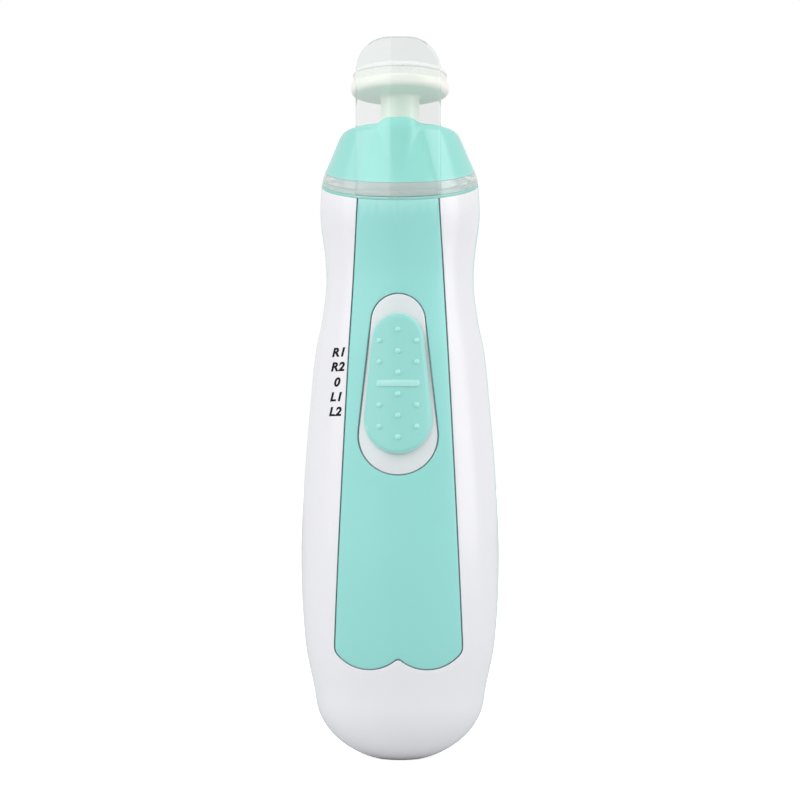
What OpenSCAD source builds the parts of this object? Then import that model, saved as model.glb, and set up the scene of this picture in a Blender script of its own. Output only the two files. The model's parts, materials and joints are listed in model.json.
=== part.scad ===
// Electric baby nail trimmer: a two-cell handheld grinder with a five-position slide switch,
// a soft abrasive disc on a pull-off carrier, a clear light ring and a clear finger guard.
// Units are millimetres. +Z runs up the long axis, the switch faces -Y, and the origin is
// the centre of the small flat foot.

/* [Handle] */
// Widest part of the handle, side to side
body_w = 45.2; // [44:0.2:47]
// Depth of the handle as a share of its width, at the widest part
depth_share = 0.83; // [0.81:0.01:0.88]
// Thickness of the shell walls
wall = 2.4; // [2.2:0.1:2.6]
// Distance from the axis forward to the parting line of the two shells
seam_offset = 2.2; // [1.8:0.1:2.6]
// Thickness of the coloured front panel
panel_t = 1.2; // [1:0.1:1.4]
// Gap all round the front panel
panel_gap = 0.25; // [0.15:0.05:0.35]

/* [Slide button] */
// Length of the slide button
button_l = 30.6; // [29.6:0.2:31.2]
// Travel from the off position to either end
button_travel = 4.2; // [3:0.2:4.2]
// Height of the middle of the slide button above the front panel
button_rise = 1.4; // [1:0.1:1.8]
// Distance between rows of grip dots
dot_pitch = 4.68; // [4.4:0.02:4.8]

/* [Head] */
// Height of the parting line under the light ring, on the axis
ring_z = 131.1; // [130.5:0.1:131.5]
// Slant of the light ring's lower face, in degrees
ring_tilt = 19; // [18:0.5:19.5]
// Height of the light ring, on the axis
ring_h = 2.6; // [2.4:0.1:2.8]
// Radius of the nose cone's top rim
nose_r = 13; // [12.6:0.1:13.4]
// Height of the nose cone's top face
nose_z = 142.4; // [142:0.1:142.6]
// Width of the clear finger guard
guard_w = 18.7; // [17.7:0.2:19.7]
// Height of the clear finger guard's top edge
guard_z = 159.9; // [158.9:0.1:161.9]
// Thickness of the clear finger guard
guard_t = 1.1; // [1:0.1:1.2]

/* [Abrasive disc] */
// Radius of the disc carrier
carrier_r = 11.2; // [10.8:0.1:11.4]
// Radius of the abrasive disc
disc_r = 10.7; // [10.2:0.1:11]
// Radius of the carrier's sleeve
sleeve_r = 4.4; // [4.1:0.1:4.5]

/* [Power] */
// Diameter of an AA cell
cell_d = 14.3; // [13.9:0.1:14.5]
// Length of an AA cell with its button
cell_l = 50.3; // [49.9:0.1:50.5]
// Diameter of the motor
motor_d = 20; // [19:0.5:20.5]
// Length of the motor's can
motor_l = 24.6; // [24:0.1:25]

/* [Hidden] */

mint = "#9fdcd3";
mint_dark = "#8fd0c7";
pale = "#eef0f2";
clear = [0.92, 0.96, 0.97, 0.45];
steel = "#b9bdc2";
brass = "#c9a44c";

// Clearances: running fits, and screws in their pilot holes.
run_gap = 0.05;
thread_gap = 0.02;

// How far a cutting shape reaches past what it cuts.
reach = 40;

// ---- Outline of the handle ----------------------------------------------------------

// Height and half-width of the handle's side outline, foot to neck, drawn for a 45.2 wide handle.
OUTLINE = [
    [0, 17.9], [14, 19.3], [26, 21.6], [45, 22.6], [64, 21.8], [80, 20.5], [92, 19.3],
    [100, 17.7], [108, 16.8], [115, 17.2], [123, 18.2], [131, 17.85], [137, 17.4]
];
outline_scale = body_w / 45.2;
outline_end = len(OUTLINE) - 1;
// The foot is a half ellipse of this height, cut flat this far above its lowest point.
foot_h = 13.8;
foot_cut = 0.8;
// The section is widest and flattest up to the first height, and round from the second one up.
flat_below = 50;
round_above = 123;
// Heights of the sections that the shells are lofted through, close together where it bends.
LEVELS = [
    0, 0.9, 2.2, 4, 6.2, 9, 12.5, 17, 22, 28, 34.5, 41, 48, 55, 62, 69, 76, 83, 89, 94,
    98.5, 103, 107.5, 112, 116.5, 121, 126, 131, 137
];
arc_steps = 22;

function outline_slope(i) =
    let (lo = max(i - 1, 0), hi = min(i + 1, outline_end))
    (OUTLINE[hi][1] - OUTLINE[lo][1]) / (OUTLINE[hi][0] - OUTLINE[lo][0]);

function outline_span(z, i = 0) =
    i >= outline_end - 1 || z <= OUTLINE[i + 1][0] ? i : outline_span(z, i + 1);

// A cubic through two neighbouring points of the outline, with the slopes at both.
function outline_at(z) =
    let (
        i = outline_span(z),
        h = OUTLINE[i + 1][0] - OUTLINE[i][0],
        t = (z - OUTLINE[i][0]) / h
    )
    (2 * t ^ 3 - 3 * t ^ 2 + 1) * OUTLINE[i][1]
    + (t ^ 3 - 2 * t ^ 2 + t) * h * outline_slope(i)
    + (3 * t ^ 2 - 2 * t ^ 3) * OUTLINE[i + 1][1]
    + (t ^ 3 - t ^ 2) * h * outline_slope(i + 1);

function foot_round(z) =
    let (below = max(foot_h - foot_cut - z, 0) / foot_h) sqrt(1 - below ^ 2);

function half_w(z) = outline_scale * foot_round(z) * outline_at(z);

function depth_at(z) =
    let (t = min(max((z - flat_below) / (round_above - flat_below), 0), 1))
    depth_share + (1 - depth_share) * (3 * t ^ 2 - 2 * t ^ 3);

function half_d(z) = half_w(z) * depth_at(z);

// One section of the handle: the arc in front of (side -1) or behind (side 1) the plane y = cut.
function half_section(z, inset, side, cut) =
    let (
        a = half_w(z) - inset,
        b = half_d(z) - inset,
        from = asin(max(min(side * cut / b, 0.95), -0.95))
    )
    [for (k = [0:arc_steps])
        let (t = from + (180 - 2 * from) * k / arc_steps) [side * a * cos(t), side * b * sin(t), z]];

// A solid half of the handle, its surface moved in by inset, between two of the levels.
module half_handle(inset, side, cut, low = 0, high = 137) {
    levels = [for (z = LEVELS) if (z >= low && z <= high) z];
    n = arc_steps + 1;
    top = len(levels) - 1;
    points = [for (z = levels) each half_section(z, inset, side, cut)];
    faces = [
        [for (k = [0:n - 1]) k],
        [for (k = [n - 1:-1:0]) top * n + k],
        for (j = [0:top - 1], k = [0:n - 1]) each
            let (a = j * n + k, b = j * n + (k + 1) % n) [[a, a + n, b], [b, a + n, b + n]]
    ];
    polyhedron(points, faces, convexity = 6);
}

// Everything above a plane through the axis at height z, low at the front.
module above_slant(z, tilt) {
    translate([0, 0, z]) rotate([tilt, 0, 0]) translate([-reach, -reach, 0]) cube(2 * reach);
}

// Everything below that plane.
module below_slant(z, tilt) {
    translate([0, 0, z]) rotate([tilt, 0, 0]) translate([-reach, -reach, -4 * reach])
        cube([2 * reach, 2 * reach, 4 * reach]);
}

// A flat outline drawn in x and z, standing between two values of y.
module upright(from, to) {
    translate([0, to, 0]) rotate([90, 0, 0]) linear_extrude(to - from) children();
}

// ---- Front panel and button outlines ------------------------------------------------

panel_foot_z = 21.9;
panel_low_w = 14;
panel_high_w = 8.75;
panel_high_z = 126;
panel_bow = 0.25;
lobe_x = 6.6;
lobe_r = 9.25;
lobe_end = -43;
corner_r = 2.2;

function arc(c, r, from, to, steps) =
    [for (k = [0:steps]) let (t = from + (to - from) * k / steps) [c[0] + r * cos(t), c[1] + r * sin(t)]];

// Right half of the panel's outline: one foot lobe, its outer corner and the tapering side.
function panel_side(grow) =
    let (
        lobe = [lobe_x, panel_foot_z + lobe_r],
        corner = lobe + (lobe_r - corner_r) * [cos(lobe_end), sin(lobe_end)],
        notch = 180 + acos(lobe_x / (lobe_r + grow)),
        foot = corner[1]
    )
    concat(
        arc(lobe, lobe_r + grow, notch, 360 + lobe_end, 9),
        arc(corner, corner_r + grow, lobe_end + 10, 0, 4),
        [for (t = [0.12:0.22:1.2])
            [panel_low_w + (panel_high_w - panel_low_w) * t + 4 * panel_bow * t * (1 - t) + grow,
             foot + (panel_high_z - foot) * t]]
    );

module panel_outline(grow = 0) {
    right = panel_side(grow);
    left = [for (k = [len(right) - 1:-1:1]) [-right[k][0], right[k][1]]];
    polygon(concat(right, left));
}

// The outline round two circles, one above the other.
function egg(high_z, high_r, low_z, low_r) =
    let (lean = asin((low_r - high_r) / (high_z - low_z)))
    concat(
        arc([0, high_z], high_r, lean, 180 - lean, 14),
        arc([0, low_z], low_r, 180 - lean, 360 + lean, 18)
    );

// The track that the button slides on: its middle, its slope, and the roundness of its floor.
track_z = 84.3;
track_half_l = 20;
track_depth = 0.6;
track_y = -half_d(track_z);
track_slope = atan((half_d(track_z - track_half_l) - half_d(track_z + track_half_l)) / (2 * track_half_l));
track_round = half_w(track_z) ^ 2 / half_d(track_z);
recess_high_r = 6.1;
recess_low_r = 8.9;
button_high_r = 5.7;
button_low_r = 7.5;
button_crown_r = 14;

// Children are drawn with y = 0 on the handle's surface and z along the track.
module on_track() {
    translate([0, track_y, track_z]) rotate([-track_slope, 0, 0]) children();
}

// The recess in the front panel, carried through the shell.
module recess_block(grow = 0) {
    r_high = recess_high_r + grow;
    r_low = recess_low_r + grow;
    on_track() upright(-8, 4)
        polygon(egg(track_half_l - recess_high_r, r_high, recess_low_r - track_half_l, r_low));
}

module button_outline() {
    half = button_l / 2;
    polygon(egg(half - button_high_r, button_high_r, button_low_r - half, button_low_r));
}

// A long cylinder along the track, its surface depth under the surface of the handle.
module track_cylinder(depth) {
    translate([0, track_round, 0]) cylinder(h = 120, r = track_round - depth, center = true, $fn = 96);
}

// ---- Head ---------------------------------------------------------------------------

collar_h = 0.6;
nose_tilt = ring_tilt - 1.2;
nose_foot_r = 17;
ring_low_r = 18.2;
ring_high_r = 17.5;
ring_bore_r = 14.2;
skirt_r = 13;
guard_r = ring_low_r + 0.55;
guard_corner_r = 6.9;
// The guard's foot hangs this far below the ring's lower face, and drops twice to a small point.
guard_foot_drop = 5.8;
guard_tip = 0.7;
// Walls of the nose cone, its skirt and the flat part of its top.
nose_wall = 1.8;
skirt_wall = 1.5;
nose_top_t = 1;

// The hub that holds the bush, and the well in the nose's top that the sleeve turns in.
hub_r = 5.4;
well_r = 5;
well_z = 141;
bush_r = 3;
bush_low_z = 134;

// ---- Drive --------------------------------------------------------------------------

spindle_r = 1.5;
motor_shaft_r = 1;
motor_z = 96.8;
motor_top_z = motor_z + motor_l;
motor_flat_w = 15.2;
motor_boss_r = 3;
motor_screw_x = 6.5;
motor_screw_r = 1;
motor_plate_t = 1.6;
skirt_z = motor_top_z + motor_plate_t;
coupling_low_z = skirt_z + 1;
coupling_l = 8;
spindle_z = coupling_low_z + coupling_l / 2;
spindle_top_z = 149.6;
carrier_z = 150.8;
carrier_t = 2.8;
cushion_t = 1.8;
disc_t = 1.2;
sleeve_z = 141.6;
// The flat on the end of the spindle that turns the carrier.
spindle_flat = 1;

// ---- Power --------------------------------------------------------------------------

cell_x = 7.6;
cell_y = 4;
cell_z = 22.5;
cell_r = cell_d / 2;
tray_x = 15.3;
tray_back_y = 4;
tray_front_y = -4.8;
tray_z = 18.6;
tray_top_z = 76.6;
tray_wall = 1.2;
spring_wide_r = 4.4;
spring_narrow_r = 2.2;
spring_wire_r = 0.3;
spring_turns = 2.5;
contact_t = 0.4;
contact_out_x = 12;
contact_in_x = 3;
tab_w = 2;
lead_r = 0.6;
door_low_z = 17;
door_high_z = 78;
door_w = 26;
door_corner_r = 5;
door_gap = 0.3;

// Screw positions, as x and z. The screws run front to back.
SCREWS = [[-12.4, 84], [12.4, 84], [0, 11.5]];
screw_r = 1.1;
screw_head_r = 2.2;
screw_front_y = -9;
screw_seat_y = 6;
boss_r = 2.7;

// Round solids along Y, from one y to another.
module along_y(from, to, r) {
    translate([0, from, 0]) rotate([-90, 0, 0]) cylinder(h = to - from, r = r, $fn = 32);
}

module at_screws() {
    for (p = SCREWS) translate([p[0], 0, p[1]]) children();
}

// ---- Shells -------------------------------------------------------------------------

module front_bosses() {
    intersection() {
        at_screws() along_y(-17, -seam_offset, boss_r);
        half_handle(wall / 2, -1, -seam_offset, 4, 94);
    }
}

module front_shell() {
    color(pale) difference() {
        union() {
            difference() {
                half_handle(0, -1, -seam_offset);
                half_handle(wall, -1, 1, 2.2);
            }
            front_bosses();
        }
        above_slant(ring_z - collar_h, ring_tilt);
        // Pocket for the front panel, round the raised track that the button slides on
        difference() {
            upright(-reach, 0) panel_outline(panel_gap);
            half_handle(panel_t, -1, 1, 17);
            recess_block(-panel_gap);
        }
        // Top of the track, and the slot in it for the switch knob
        difference() {
            recess_block();
            on_track() track_cylinder(track_depth);
        }
        on_track() knob_slot(0.6, 0.7, 0, 8);
        at_screws() along_y(screw_front_y - 1, 0, screw_r + thread_gap);
    }
}

module rear_bosses() {
    intersection() {
        at_screws() along_y(-seam_offset, 18, boss_r + 0.4);
        half_handle(wall / 2, 1, -seam_offset, 4, 94);
    }
}

module door_outline(grow = 0) {
    w = door_w / 2 + grow;
    r = door_corner_r;
    polygon(concat(
        arc([w - r, door_low_z + r - grow], r, 270, 360, 5),
        arc([w - r, door_high_z - r + grow], r, 0, 90, 5),
        arc([r - w, door_high_z - r + grow], r, 90, 180, 5),
        arc([r - w, door_low_z + r - grow], r, 180, 270, 5)
    ));
}

module rear_shell() {
    color(mint_dark) difference() {
        union() {
            difference() {
                half_handle(0, 1, -seam_offset);
                half_handle(wall, 1, -seam_offset - 2, 2.2);
                above_slant(ring_z - collar_h, ring_tilt);
            }
            collar();
            rear_bosses();
        }
        // Battery door opening
        upright(6, 30) door_outline(door_gap);
        // Screw holes, with a counterbore from the back
        at_screws() along_y(-10, 30, screw_r + 0.2);
        at_screws() along_y(screw_seat_y, 30, screw_head_r + 0.25);
    }
}

// A tapered ring round the neck, to be cut to height.
module neck_ring(bore_r) {
    difference() {
        translate([0, 0, 120]) cylinder(h = 20, r1 = ring_low_r + 0.05, r2 = ring_high_r - 0.3, $fn = 96);
        translate([0, 0, 110]) cylinder(h = reach, r = bore_r, $fn = 96);
    }
}

// A thin full ring on top of the rear shell that the light ring sits on.
module collar() {
    difference() {
        neck_ring(ring_bore_r + 1.4);
        above_slant(ring_z, ring_tilt);
        below_slant(ring_z - collar_h, ring_tilt);
    }
}

module front_panel() {
    color(mint) difference() {
        intersection() {
            upright(-reach, 0) panel_outline();
            half_handle(0, -1, -6, 17);
        }
        half_handle(panel_t, -1, 1, 17);
        above_slant(ring_z - collar_h, ring_tilt);
        recess_block();
    }
}

// The door's skin, with two ribs inside that hold the cells down.
module battery_door() {
    color(mint_dark) {
        difference() {
            intersection() {
                upright(6, 30) door_outline();
                half_handle(0, 1, 6, 12.5, 83);
            }
            half_handle(wall, 1, 4, 12.5, 83);
        }
        for (x = [-cell_x, cell_x]) translate([x - 1, cell_y + cell_r + 0.7, 24]) cube([2, 3.4, 46]);
    }
}

// ---- Head ---------------------------------------------------------------------------

// The shape of the clear guard: a strip of tube with rounded top corners and a pointed foot.
module guard_outline() {
    w = guard_w / 2;
    r = guard_corner_r;
    side_z = ring_z - guard_foot_drop;
    tip_w = 1.4;
    tip_z = side_z - guard_tip;
    polygon(concat(
        arc([w - r, guard_z - r], r, 0, 90, 10),
        arc([r - w, guard_z - r], r, 90, 180, 10),
        [[-w, side_z], [-tip_w, tip_z], [0, tip_z - guard_tip], [tip_w, tip_z], [w, side_z]]
    ));
}

module guard_band() {
    intersection() {
        upright(-reach, 0) guard_outline();
        difference() {
            translate([0, 0, 110]) cylinder(h = 60, r = guard_r, $fn = 96);
            translate([0, 0, 109]) cylinder(h = 62, r = guard_r - guard_t, $fn = 96);
        }
    }
}

module clear_guard() {
    color(clear) difference() {
        guard_band();
        intersection() {
            below_slant(ring_z, ring_tilt);
            translate([0, 0, 110]) cylinder(h = 30, r = ring_low_r + 0.1, $fn = 96);
        }
    }
}

module light_ring() {
    color(clear) difference() {
        neck_ring(ring_bore_r);
        below_slant(ring_z, ring_tilt);
        above_slant(ring_z + ring_h, nose_tilt);
        guard_band();
    }
}

// A thin disc lying in the ring's upper face.
module nose_foot(r) {
    translate([0, 0, ring_z + ring_h]) rotate([nose_tilt, 0, 0]) cylinder(h = 0.4, r = r, $fn = 64);
}

module nose_dome(inset) {
    hull() {
        nose_foot(nose_foot_r - inset);
        translate([0, 0, nose_z - 2.6 - inset]) cylinder(h = 0.4, r = nose_r + 1.1 - inset, $fn = 64);
        translate([0, 0, nose_z - 0.7 - inset]) cylinder(h = 0.7, r = nose_r - inset, $fn = 64);
    }
}

// The small fold down the front of the nose, widest at the rim.
module nose_fold() {
    hull() {
        translate([0, -nose_r - 0.1, nose_z - 1]) scale([1.8, 0.45, 0.8]) sphere(r = 2.6, $fn = 24);
        translate([0, -nose_foot_r + 1.6, ring_z + 1.3]) sphere(r = 0.8, $fn = 16);
    }
}

module nose_cone() {
    color(mint) difference() {
        union() {
            difference() {
                union() {
                    nose_dome(0);
                    intersection() {
                        nose_fold();
                        above_slant(ring_z + ring_h, nose_tilt);
                    }
                }
                nose_dome(nose_wall);
                translate([0, 0, 118]) cylinder(h = 14, r = skirt_r, $fn = 64);
            }
            intersection() {
                translate([0, 0, skirt_z])
                    cylinder(h = nose_z - skirt_z - nose_top_t, r = skirt_r, $fn = 64);
                union() {
                    nose_dome(nose_wall / 2);
                    below_slant(ring_z + ring_h + 0.2, nose_tilt);
                }
            }
        }
        // Inside of the skirt, round the hub
        difference() {
            translate([0, 0, skirt_z - 1])
                cylinder(h = nose_z - skirt_z - nose_top_t - 0.2, r = skirt_r - skirt_wall, $fn = 64);
            translate([0, 0, bush_low_z - 1]) cylinder(h = 20, r = hub_r, $fn = 48);
        }
        translate([0, 0, bush_low_z - 2]) cylinder(h = 20, r = bush_r, $fn = 48);
        translate([0, 0, well_z]) cylinder(h = 20, r = well_r, $fn = 48);
    }
}

// ---- Slide button and switch --------------------------------------------------------

knob_w = 2.6;
knob_l = 3;
knob_top = -0.5;
knob_foot_w = 5.2;
knob_foot_l = 6;
switch_front = 4.2;
switch_depth = 3.4;
board_t = 1.6;
dot_x = 4.1;
dot_r = 0.55;
bar_w = 9.4;
bar_h = 1.5;
bar_rise = 0.25;

// The room that the knob needs over its travel, with a side gap and an end gap.
module knob_slot(side_gap, end_gap, from, to) {
    w = knob_w + 2 * side_gap;
    l = knob_l + 2 * (button_travel + end_gap);
    translate([-w / 2, from, -l / 2]) cube([w, to - from, l]);
}

module grip_dots() {
    rows = concat(
        [for (k = [-2.5:1:2.5]) [0, k * dot_pitch]],
        [for (k = [-2, -1, 1, 2], x = [-dot_x, dot_x]) [x, k * dot_pitch]]
    );
    for (p = rows) {
        sag = button_crown_r - sqrt(button_crown_r ^ 2 - p[0] ^ 2);
        translate([p[0], sag - button_rise + 0.1, p[1]]) sphere(r = dot_r, $fn = 16);
    }
}

module slide_button() {
    color(mint) on_track() difference() {
        union() {
            difference() {
                intersection() {
                    upright(-8, 8) button_outline();
                    translate([0, button_crown_r - button_rise, 0])
                        cylinder(h = 60, r = button_crown_r, center = true, $fn = 96);
                }
                track_cylinder(track_depth - 0.2);
            }
            grip_dots();
            translate([-bar_w / 2, -button_rise - bar_rise, -bar_h / 2]) cube([bar_w, 2, bar_h]);
        }
        // Socket for the switch knob
        translate([-knob_w / 2 - run_gap, knob_top - run_gap, -knob_l / 2 - run_gap])
            cube([knob_w + 2 * run_gap, 4, knob_l + 2 * run_gap]);
    }
}

// The stem that the button pushes, on a foot that slides inside the switch.
module switch_knob() {
    stem = switch_front + 1 - knob_top;
    color("#2f3336") on_track() {
        translate([-knob_w / 2, knob_top, -knob_l / 2]) cube([knob_w, stem, knob_l]);
        translate([-knob_foot_w / 2, switch_front + 0.8, -knob_foot_l / 2])
            cube([knob_foot_w, 1.6, knob_foot_l]);
    }
}

module switch_housing() {
    room_w = knob_foot_w + 0.8;
    room_l = knob_foot_l + 2 * (button_travel + 0.4);
    color(steel) on_track() difference() {
        translate([-4.5, switch_front, -10]) cube([9, switch_depth, 20]);
        translate([-room_w / 2, switch_front + 0.5, -room_l / 2]) cube([room_w, 2.2, room_l]);
        knob_slot(0.3, 0.4, switch_front - 1, switch_front + 1);
    }
}

module circuit_board() {
    color("#2f7d4f") on_track() difference() {
        translate([-8, switch_front + switch_depth, -24]) cube([16, board_t, 39]);
        for (x = [-6, 6]) translate([x, 0, -21]) along_y(5, 12, 0.8);
    }
}

// ---- Lighting -----------------------------------------------------------------------

led_drop = 2.6;
// The board is tilted round the upright skirt, so its hole is wider than the skirt.
led_bore_r = skirt_r + 1.2;

module on_led_board() {
    translate([0, 0, ring_z - led_drop]) rotate([ring_tilt, 0, 0]) children();
}

module led_board() {
    color(pale) on_led_board() difference() {
        cylinder(h = 0.8, r = ring_low_r - wall - 0.35, $fn = 64);
        translate([0, 0, -1]) cylinder(h = 3, r = led_bore_r, $fn = 64);
    }
}

module leds() {
    color("#f4f1d6") on_led_board() for (a = [225, 255, 285, 315]) {
        rotate([0, 0, a]) translate([led_bore_r + 0.1, -0.8, 0.8]) cube([1, 1.6, 0.7]);
    }
}

// ---- Motor and drive ----------------------------------------------------------------

module motor_section(grow = 0) {
    intersection() {
        circle(r = motor_d / 2 + grow, $fn = 64);
        square([motor_d + 2, motor_flat_w + 2 * grow], center = true);
    }
}

module at_motor_screws() {
    for (x = [-motor_screw_x, motor_screw_x]) translate([x, 0, 0]) children();
}

module motor_can() {
    color(steel) difference() {
        union() {
            translate([0, 0, motor_z]) linear_extrude(motor_l) motor_section();
            translate([0, 0, motor_top_z]) cylinder(h = 1.4, r = motor_boss_r, $fn = 48);
        }
        translate([0, 0, motor_z - 1]) cylinder(h = motor_l + 4, r = motor_shaft_r + run_gap, $fn = 48);
        at_motor_screws() translate([0, 0, motor_top_z - 3])
            cylinder(h = 4, r = motor_screw_r + thread_gap, $fn = 32);
    }
}

module motor_end_cap() {
    color("#22262a") difference() {
        union() {
            translate([0, 0, motor_z - 1.2]) linear_extrude(1.2) motor_section(-0.6);
            translate([0, 0, motor_z - 2.2]) cylinder(h = 1.2, r = 3, $fn = 48);
        }
        translate([0, 0, motor_z - 1.4]) cylinder(h = 2, r = motor_shaft_r + run_gap, $fn = 48);
    }
}

// The plate across the neck that the motor hangs from and the nose cone stands on.
module motor_plate() {
    color(pale) difference() {
        translate([0, 0, motor_top_z]) cylinder(h = motor_plate_t, r = 14.6, $fn = 64);
        translate([0, 0, motor_top_z - 1]) cylinder(h = 4, r = motor_boss_r + 0.1, $fn = 48);
        at_motor_screws() translate([0, 0, motor_top_z - 1])
            cylinder(h = 4, r = motor_screw_r + 0.1, $fn = 32);
    }
}

module motor_screws() {
    color(steel) at_motor_screws() {
        translate([0, 0, motor_top_z - 2.6])
            cylinder(h = motor_plate_t + 2.7, r = motor_screw_r, $fn = 32);
        translate([0, 0, motor_top_z + motor_plate_t]) cylinder(h = 1.2, r = 1.9, $fn = 32);
    }
}

module motor_shaft() {
    color(steel) translate([0, 0, motor_z]) cylinder(h = spindle_z - motor_z, r = motor_shaft_r, $fn = 48);
}

module shaft_coupling() {
    color(brass) difference() {
        translate([0, 0, coupling_low_z]) cylinder(h = coupling_l, r = 2.7, $fn = 48);
        translate([0, 0, coupling_low_z - 1])
            cylinder(h = coupling_l / 2 + 1.01, r = motor_shaft_r, $fn = 48);
        translate([0, 0, spindle_z]) cylinder(h = coupling_l, r = spindle_r, $fn = 48);
    }
}

// The end that carries the disc is a D: a round pin with one flat.
module d_end(r, flat, from, to) {
    intersection() {
        translate([0, 0, from]) cylinder(h = to - from, r = r, $fn = 48);
        translate([-5, -5, from]) cube([10, 5 + flat, to - from]);
    }
}

module drive_spindle() {
    color(steel) {
        translate([0, 0, spindle_z]) cylinder(h = sleeve_z - spindle_z, r = spindle_r, $fn = 48);
        d_end(spindle_r, spindle_flat, sleeve_z, spindle_top_z);
    }
}

module spindle_bush() {
    color(brass) translate([0, 0, bush_low_z]) difference() {
        cylinder(h = well_z - bush_low_z, r = bush_r, $fn = 48);
        translate([0, 0, -1]) cylinder(h = 20, r = spindle_r + run_gap, $fn = 48);
    }
}

// ---- Abrasive disc ------------------------------------------------------------------

module disc_carrier() {
    round = carrier_t / 2;
    color("#efeee6") difference() {
        union() {
            translate([0, 0, sleeve_z]) cylinder(h = carrier_z - sleeve_z + 1, r = sleeve_r, $fn = 64);
            translate([0, 0, carrier_z]) rotate_extrude($fn = 96) {
                square([carrier_r - round, carrier_t]);
                translate([carrier_r - round, round]) circle(r = round, $fn = 32);
            }
        }
        d_end(spindle_r + run_gap, spindle_flat + run_gap, sleeve_z - 1, spindle_top_z + 0.4);
    }
}

module foam_cushion() {
    color("#f3f1ea") translate([0, 0, carrier_z + carrier_t])
        cylinder(h = cushion_t, r = disc_r - 0.1, $fn = 96);
}

module abrasive_disc() {
    round = 0.9;
    color("#f4f4f2") translate([0, 0, carrier_z + carrier_t + cushion_t]) rotate_extrude($fn = 96) {
        square([disc_r - round, disc_t]);
        intersection() {
            translate([disc_r - round, disc_t - round]) circle(r = round, $fn = 32);
            square([disc_r, disc_t]);
        }
    }
}

// ---- Cells and contacts -------------------------------------------------------------

module battery_tray() {
    depth = tray_back_y - tray_front_y;
    color(pale) difference() {
        translate([-tray_x, tray_front_y, tray_z]) cube([2 * tray_x, depth, tray_top_z - tray_z]);
        for (x = [-cell_x, cell_x]) {
            translate([x, cell_y, tray_z + tray_wall])
                cylinder(h = tray_top_z - tray_z - 2 * tray_wall, r = cell_r + 0.3, $fn = 64);
        }
        for (x = [-cell_x, cell_x]) {
            translate([x - 3, tray_front_y - 1, 34]) cube([6, 4, 26]);
            translate([x - tab_w / 2 - 0.3, cell_y - 5.2, tray_top_z - 2]) cube([tab_w + 0.6, 0.8, 4]);
        }
        contact_bridge();
    }
}

// A cell standing on the minus end (up = 1) or on its button (up = -1).
module cell(x, up) {
    middle = cell_z + cell_l / 2;
    translate([x, cell_y, middle]) mirror([0, 0, up > 0 ? 0 : 1]) translate([0, 0, -cell_l / 2]) {
        cylinder(h = cell_l - 1.4, r = cell_r, $fn = 64);
        translate([0, 0, cell_l - 1.5]) cylinder(h = 1.5, r = 2.7, $fn = 48);
    }
}

module battery_left() {
    color("#3f8f6b") cell(-cell_x, 1);
}

module battery_right() {
    color("#3f8f6b") cell(cell_x, -1);
}

// A tube swept along a list of points, with flat ends.
module swept_tube(path, r, sides = 8) {
    last = len(path) - 1;
    points = [for (i = [0:last])
        let (
            ahead = path[min(i + 1, last)] - path[max(i - 1, 0)],
            t = ahead / norm(ahead),
            helper = abs(t[2]) > 0.8 ? [1, 0, 0] : [0, 0, 1],
            u = cross(helper, t) / norm(cross(helper, t)),
            v = cross(t, u)
        )
        for (k = [0:sides - 1])
            let (a = 360 * k / sides) path[i] + r * (cos(a) * u + sin(a) * v)];
    faces = [
        [for (k = [0:sides - 1]) sides - 1 - k],
        [for (k = [0:sides - 1]) last * sides + k],
        for (i = [0:last - 1], k = [0:sides - 1]) each
            let (a = i * sides + k, b = i * sides + (k + 1) % sides)
            [[a, b, a + sides], [b, b + sides, a + sides]]
    ];
    polyhedron(points, faces, convexity = 8);
}

// A conical spring standing between two heights, with its own radius at each.
module coil_spring(low, high, low_r, high_r) {
    steps = 12 * spring_turns;
    path = [for (k = [0:steps])
        let (t = k / steps, r = low_r + (high_r - low_r) * t)
        [r * cos(30 * k), r * sin(30 * k), low + (high - low) * t]];
    swept_tube(path, spring_wire_r, 6);
}

spring_low = tray_z + tray_wall + contact_t + spring_wire_r + 0.05;
spring_high = tray_top_z - tray_wall - contact_t - spring_wire_r - 0.05;

module spring_left() {
    color(steel) translate([-cell_x, cell_y, 0])
        coil_spring(spring_low, cell_z - spring_wire_r - 0.05, spring_wide_r, spring_narrow_r);
}

module spring_right() {
    color(steel) translate([cell_x, cell_y, 0])
        coil_spring(cell_z + cell_l + spring_wire_r + 0.05, spring_high, spring_narrow_r, spring_wide_r);
}

module contact(x0, x1, z) {
    translate([x0, cell_y - 5, z]) cube([x1 - x0, 9, contact_t]);
}

// A contact under the tray's top wall, with a solder tab that stands up through a slot in it.
module tabbed_contact(x0, x1) {
    contact(x0, x1, tray_top_z - tray_wall - contact_t);
    translate([(x0 + x1 - tab_w) / 2, cell_y - 5, tray_top_z - tray_wall - 0.1])
        cube([tab_w, contact_t, 3.2]);
}

module contact_bridge() {
    color(steel) contact(-contact_out_x, contact_out_x, tray_z + tray_wall);
}

module contact_positive() {
    color(steel) tabbed_contact(-contact_out_x, -contact_in_x);
}

module contact_negative() {
    color(steel) tabbed_contact(contact_in_x, contact_out_x);
}

// ---- Fasteners and leads ------------------------------------------------------------

module shell_screws() {
    color(steel) at_screws() {
        along_y(screw_front_y, screw_seat_y, screw_r);
        difference() {
            along_y(screw_seat_y, screw_seat_y + 1.6, screw_head_r);
            translate([-0.3, screw_seat_y + 0.8, -1.5]) cube([0.6, 2, 3]);
            translate([-1.5, screw_seat_y + 0.8, -0.3]) cube([3, 2, 0.6]);
        }
    }
}

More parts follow.
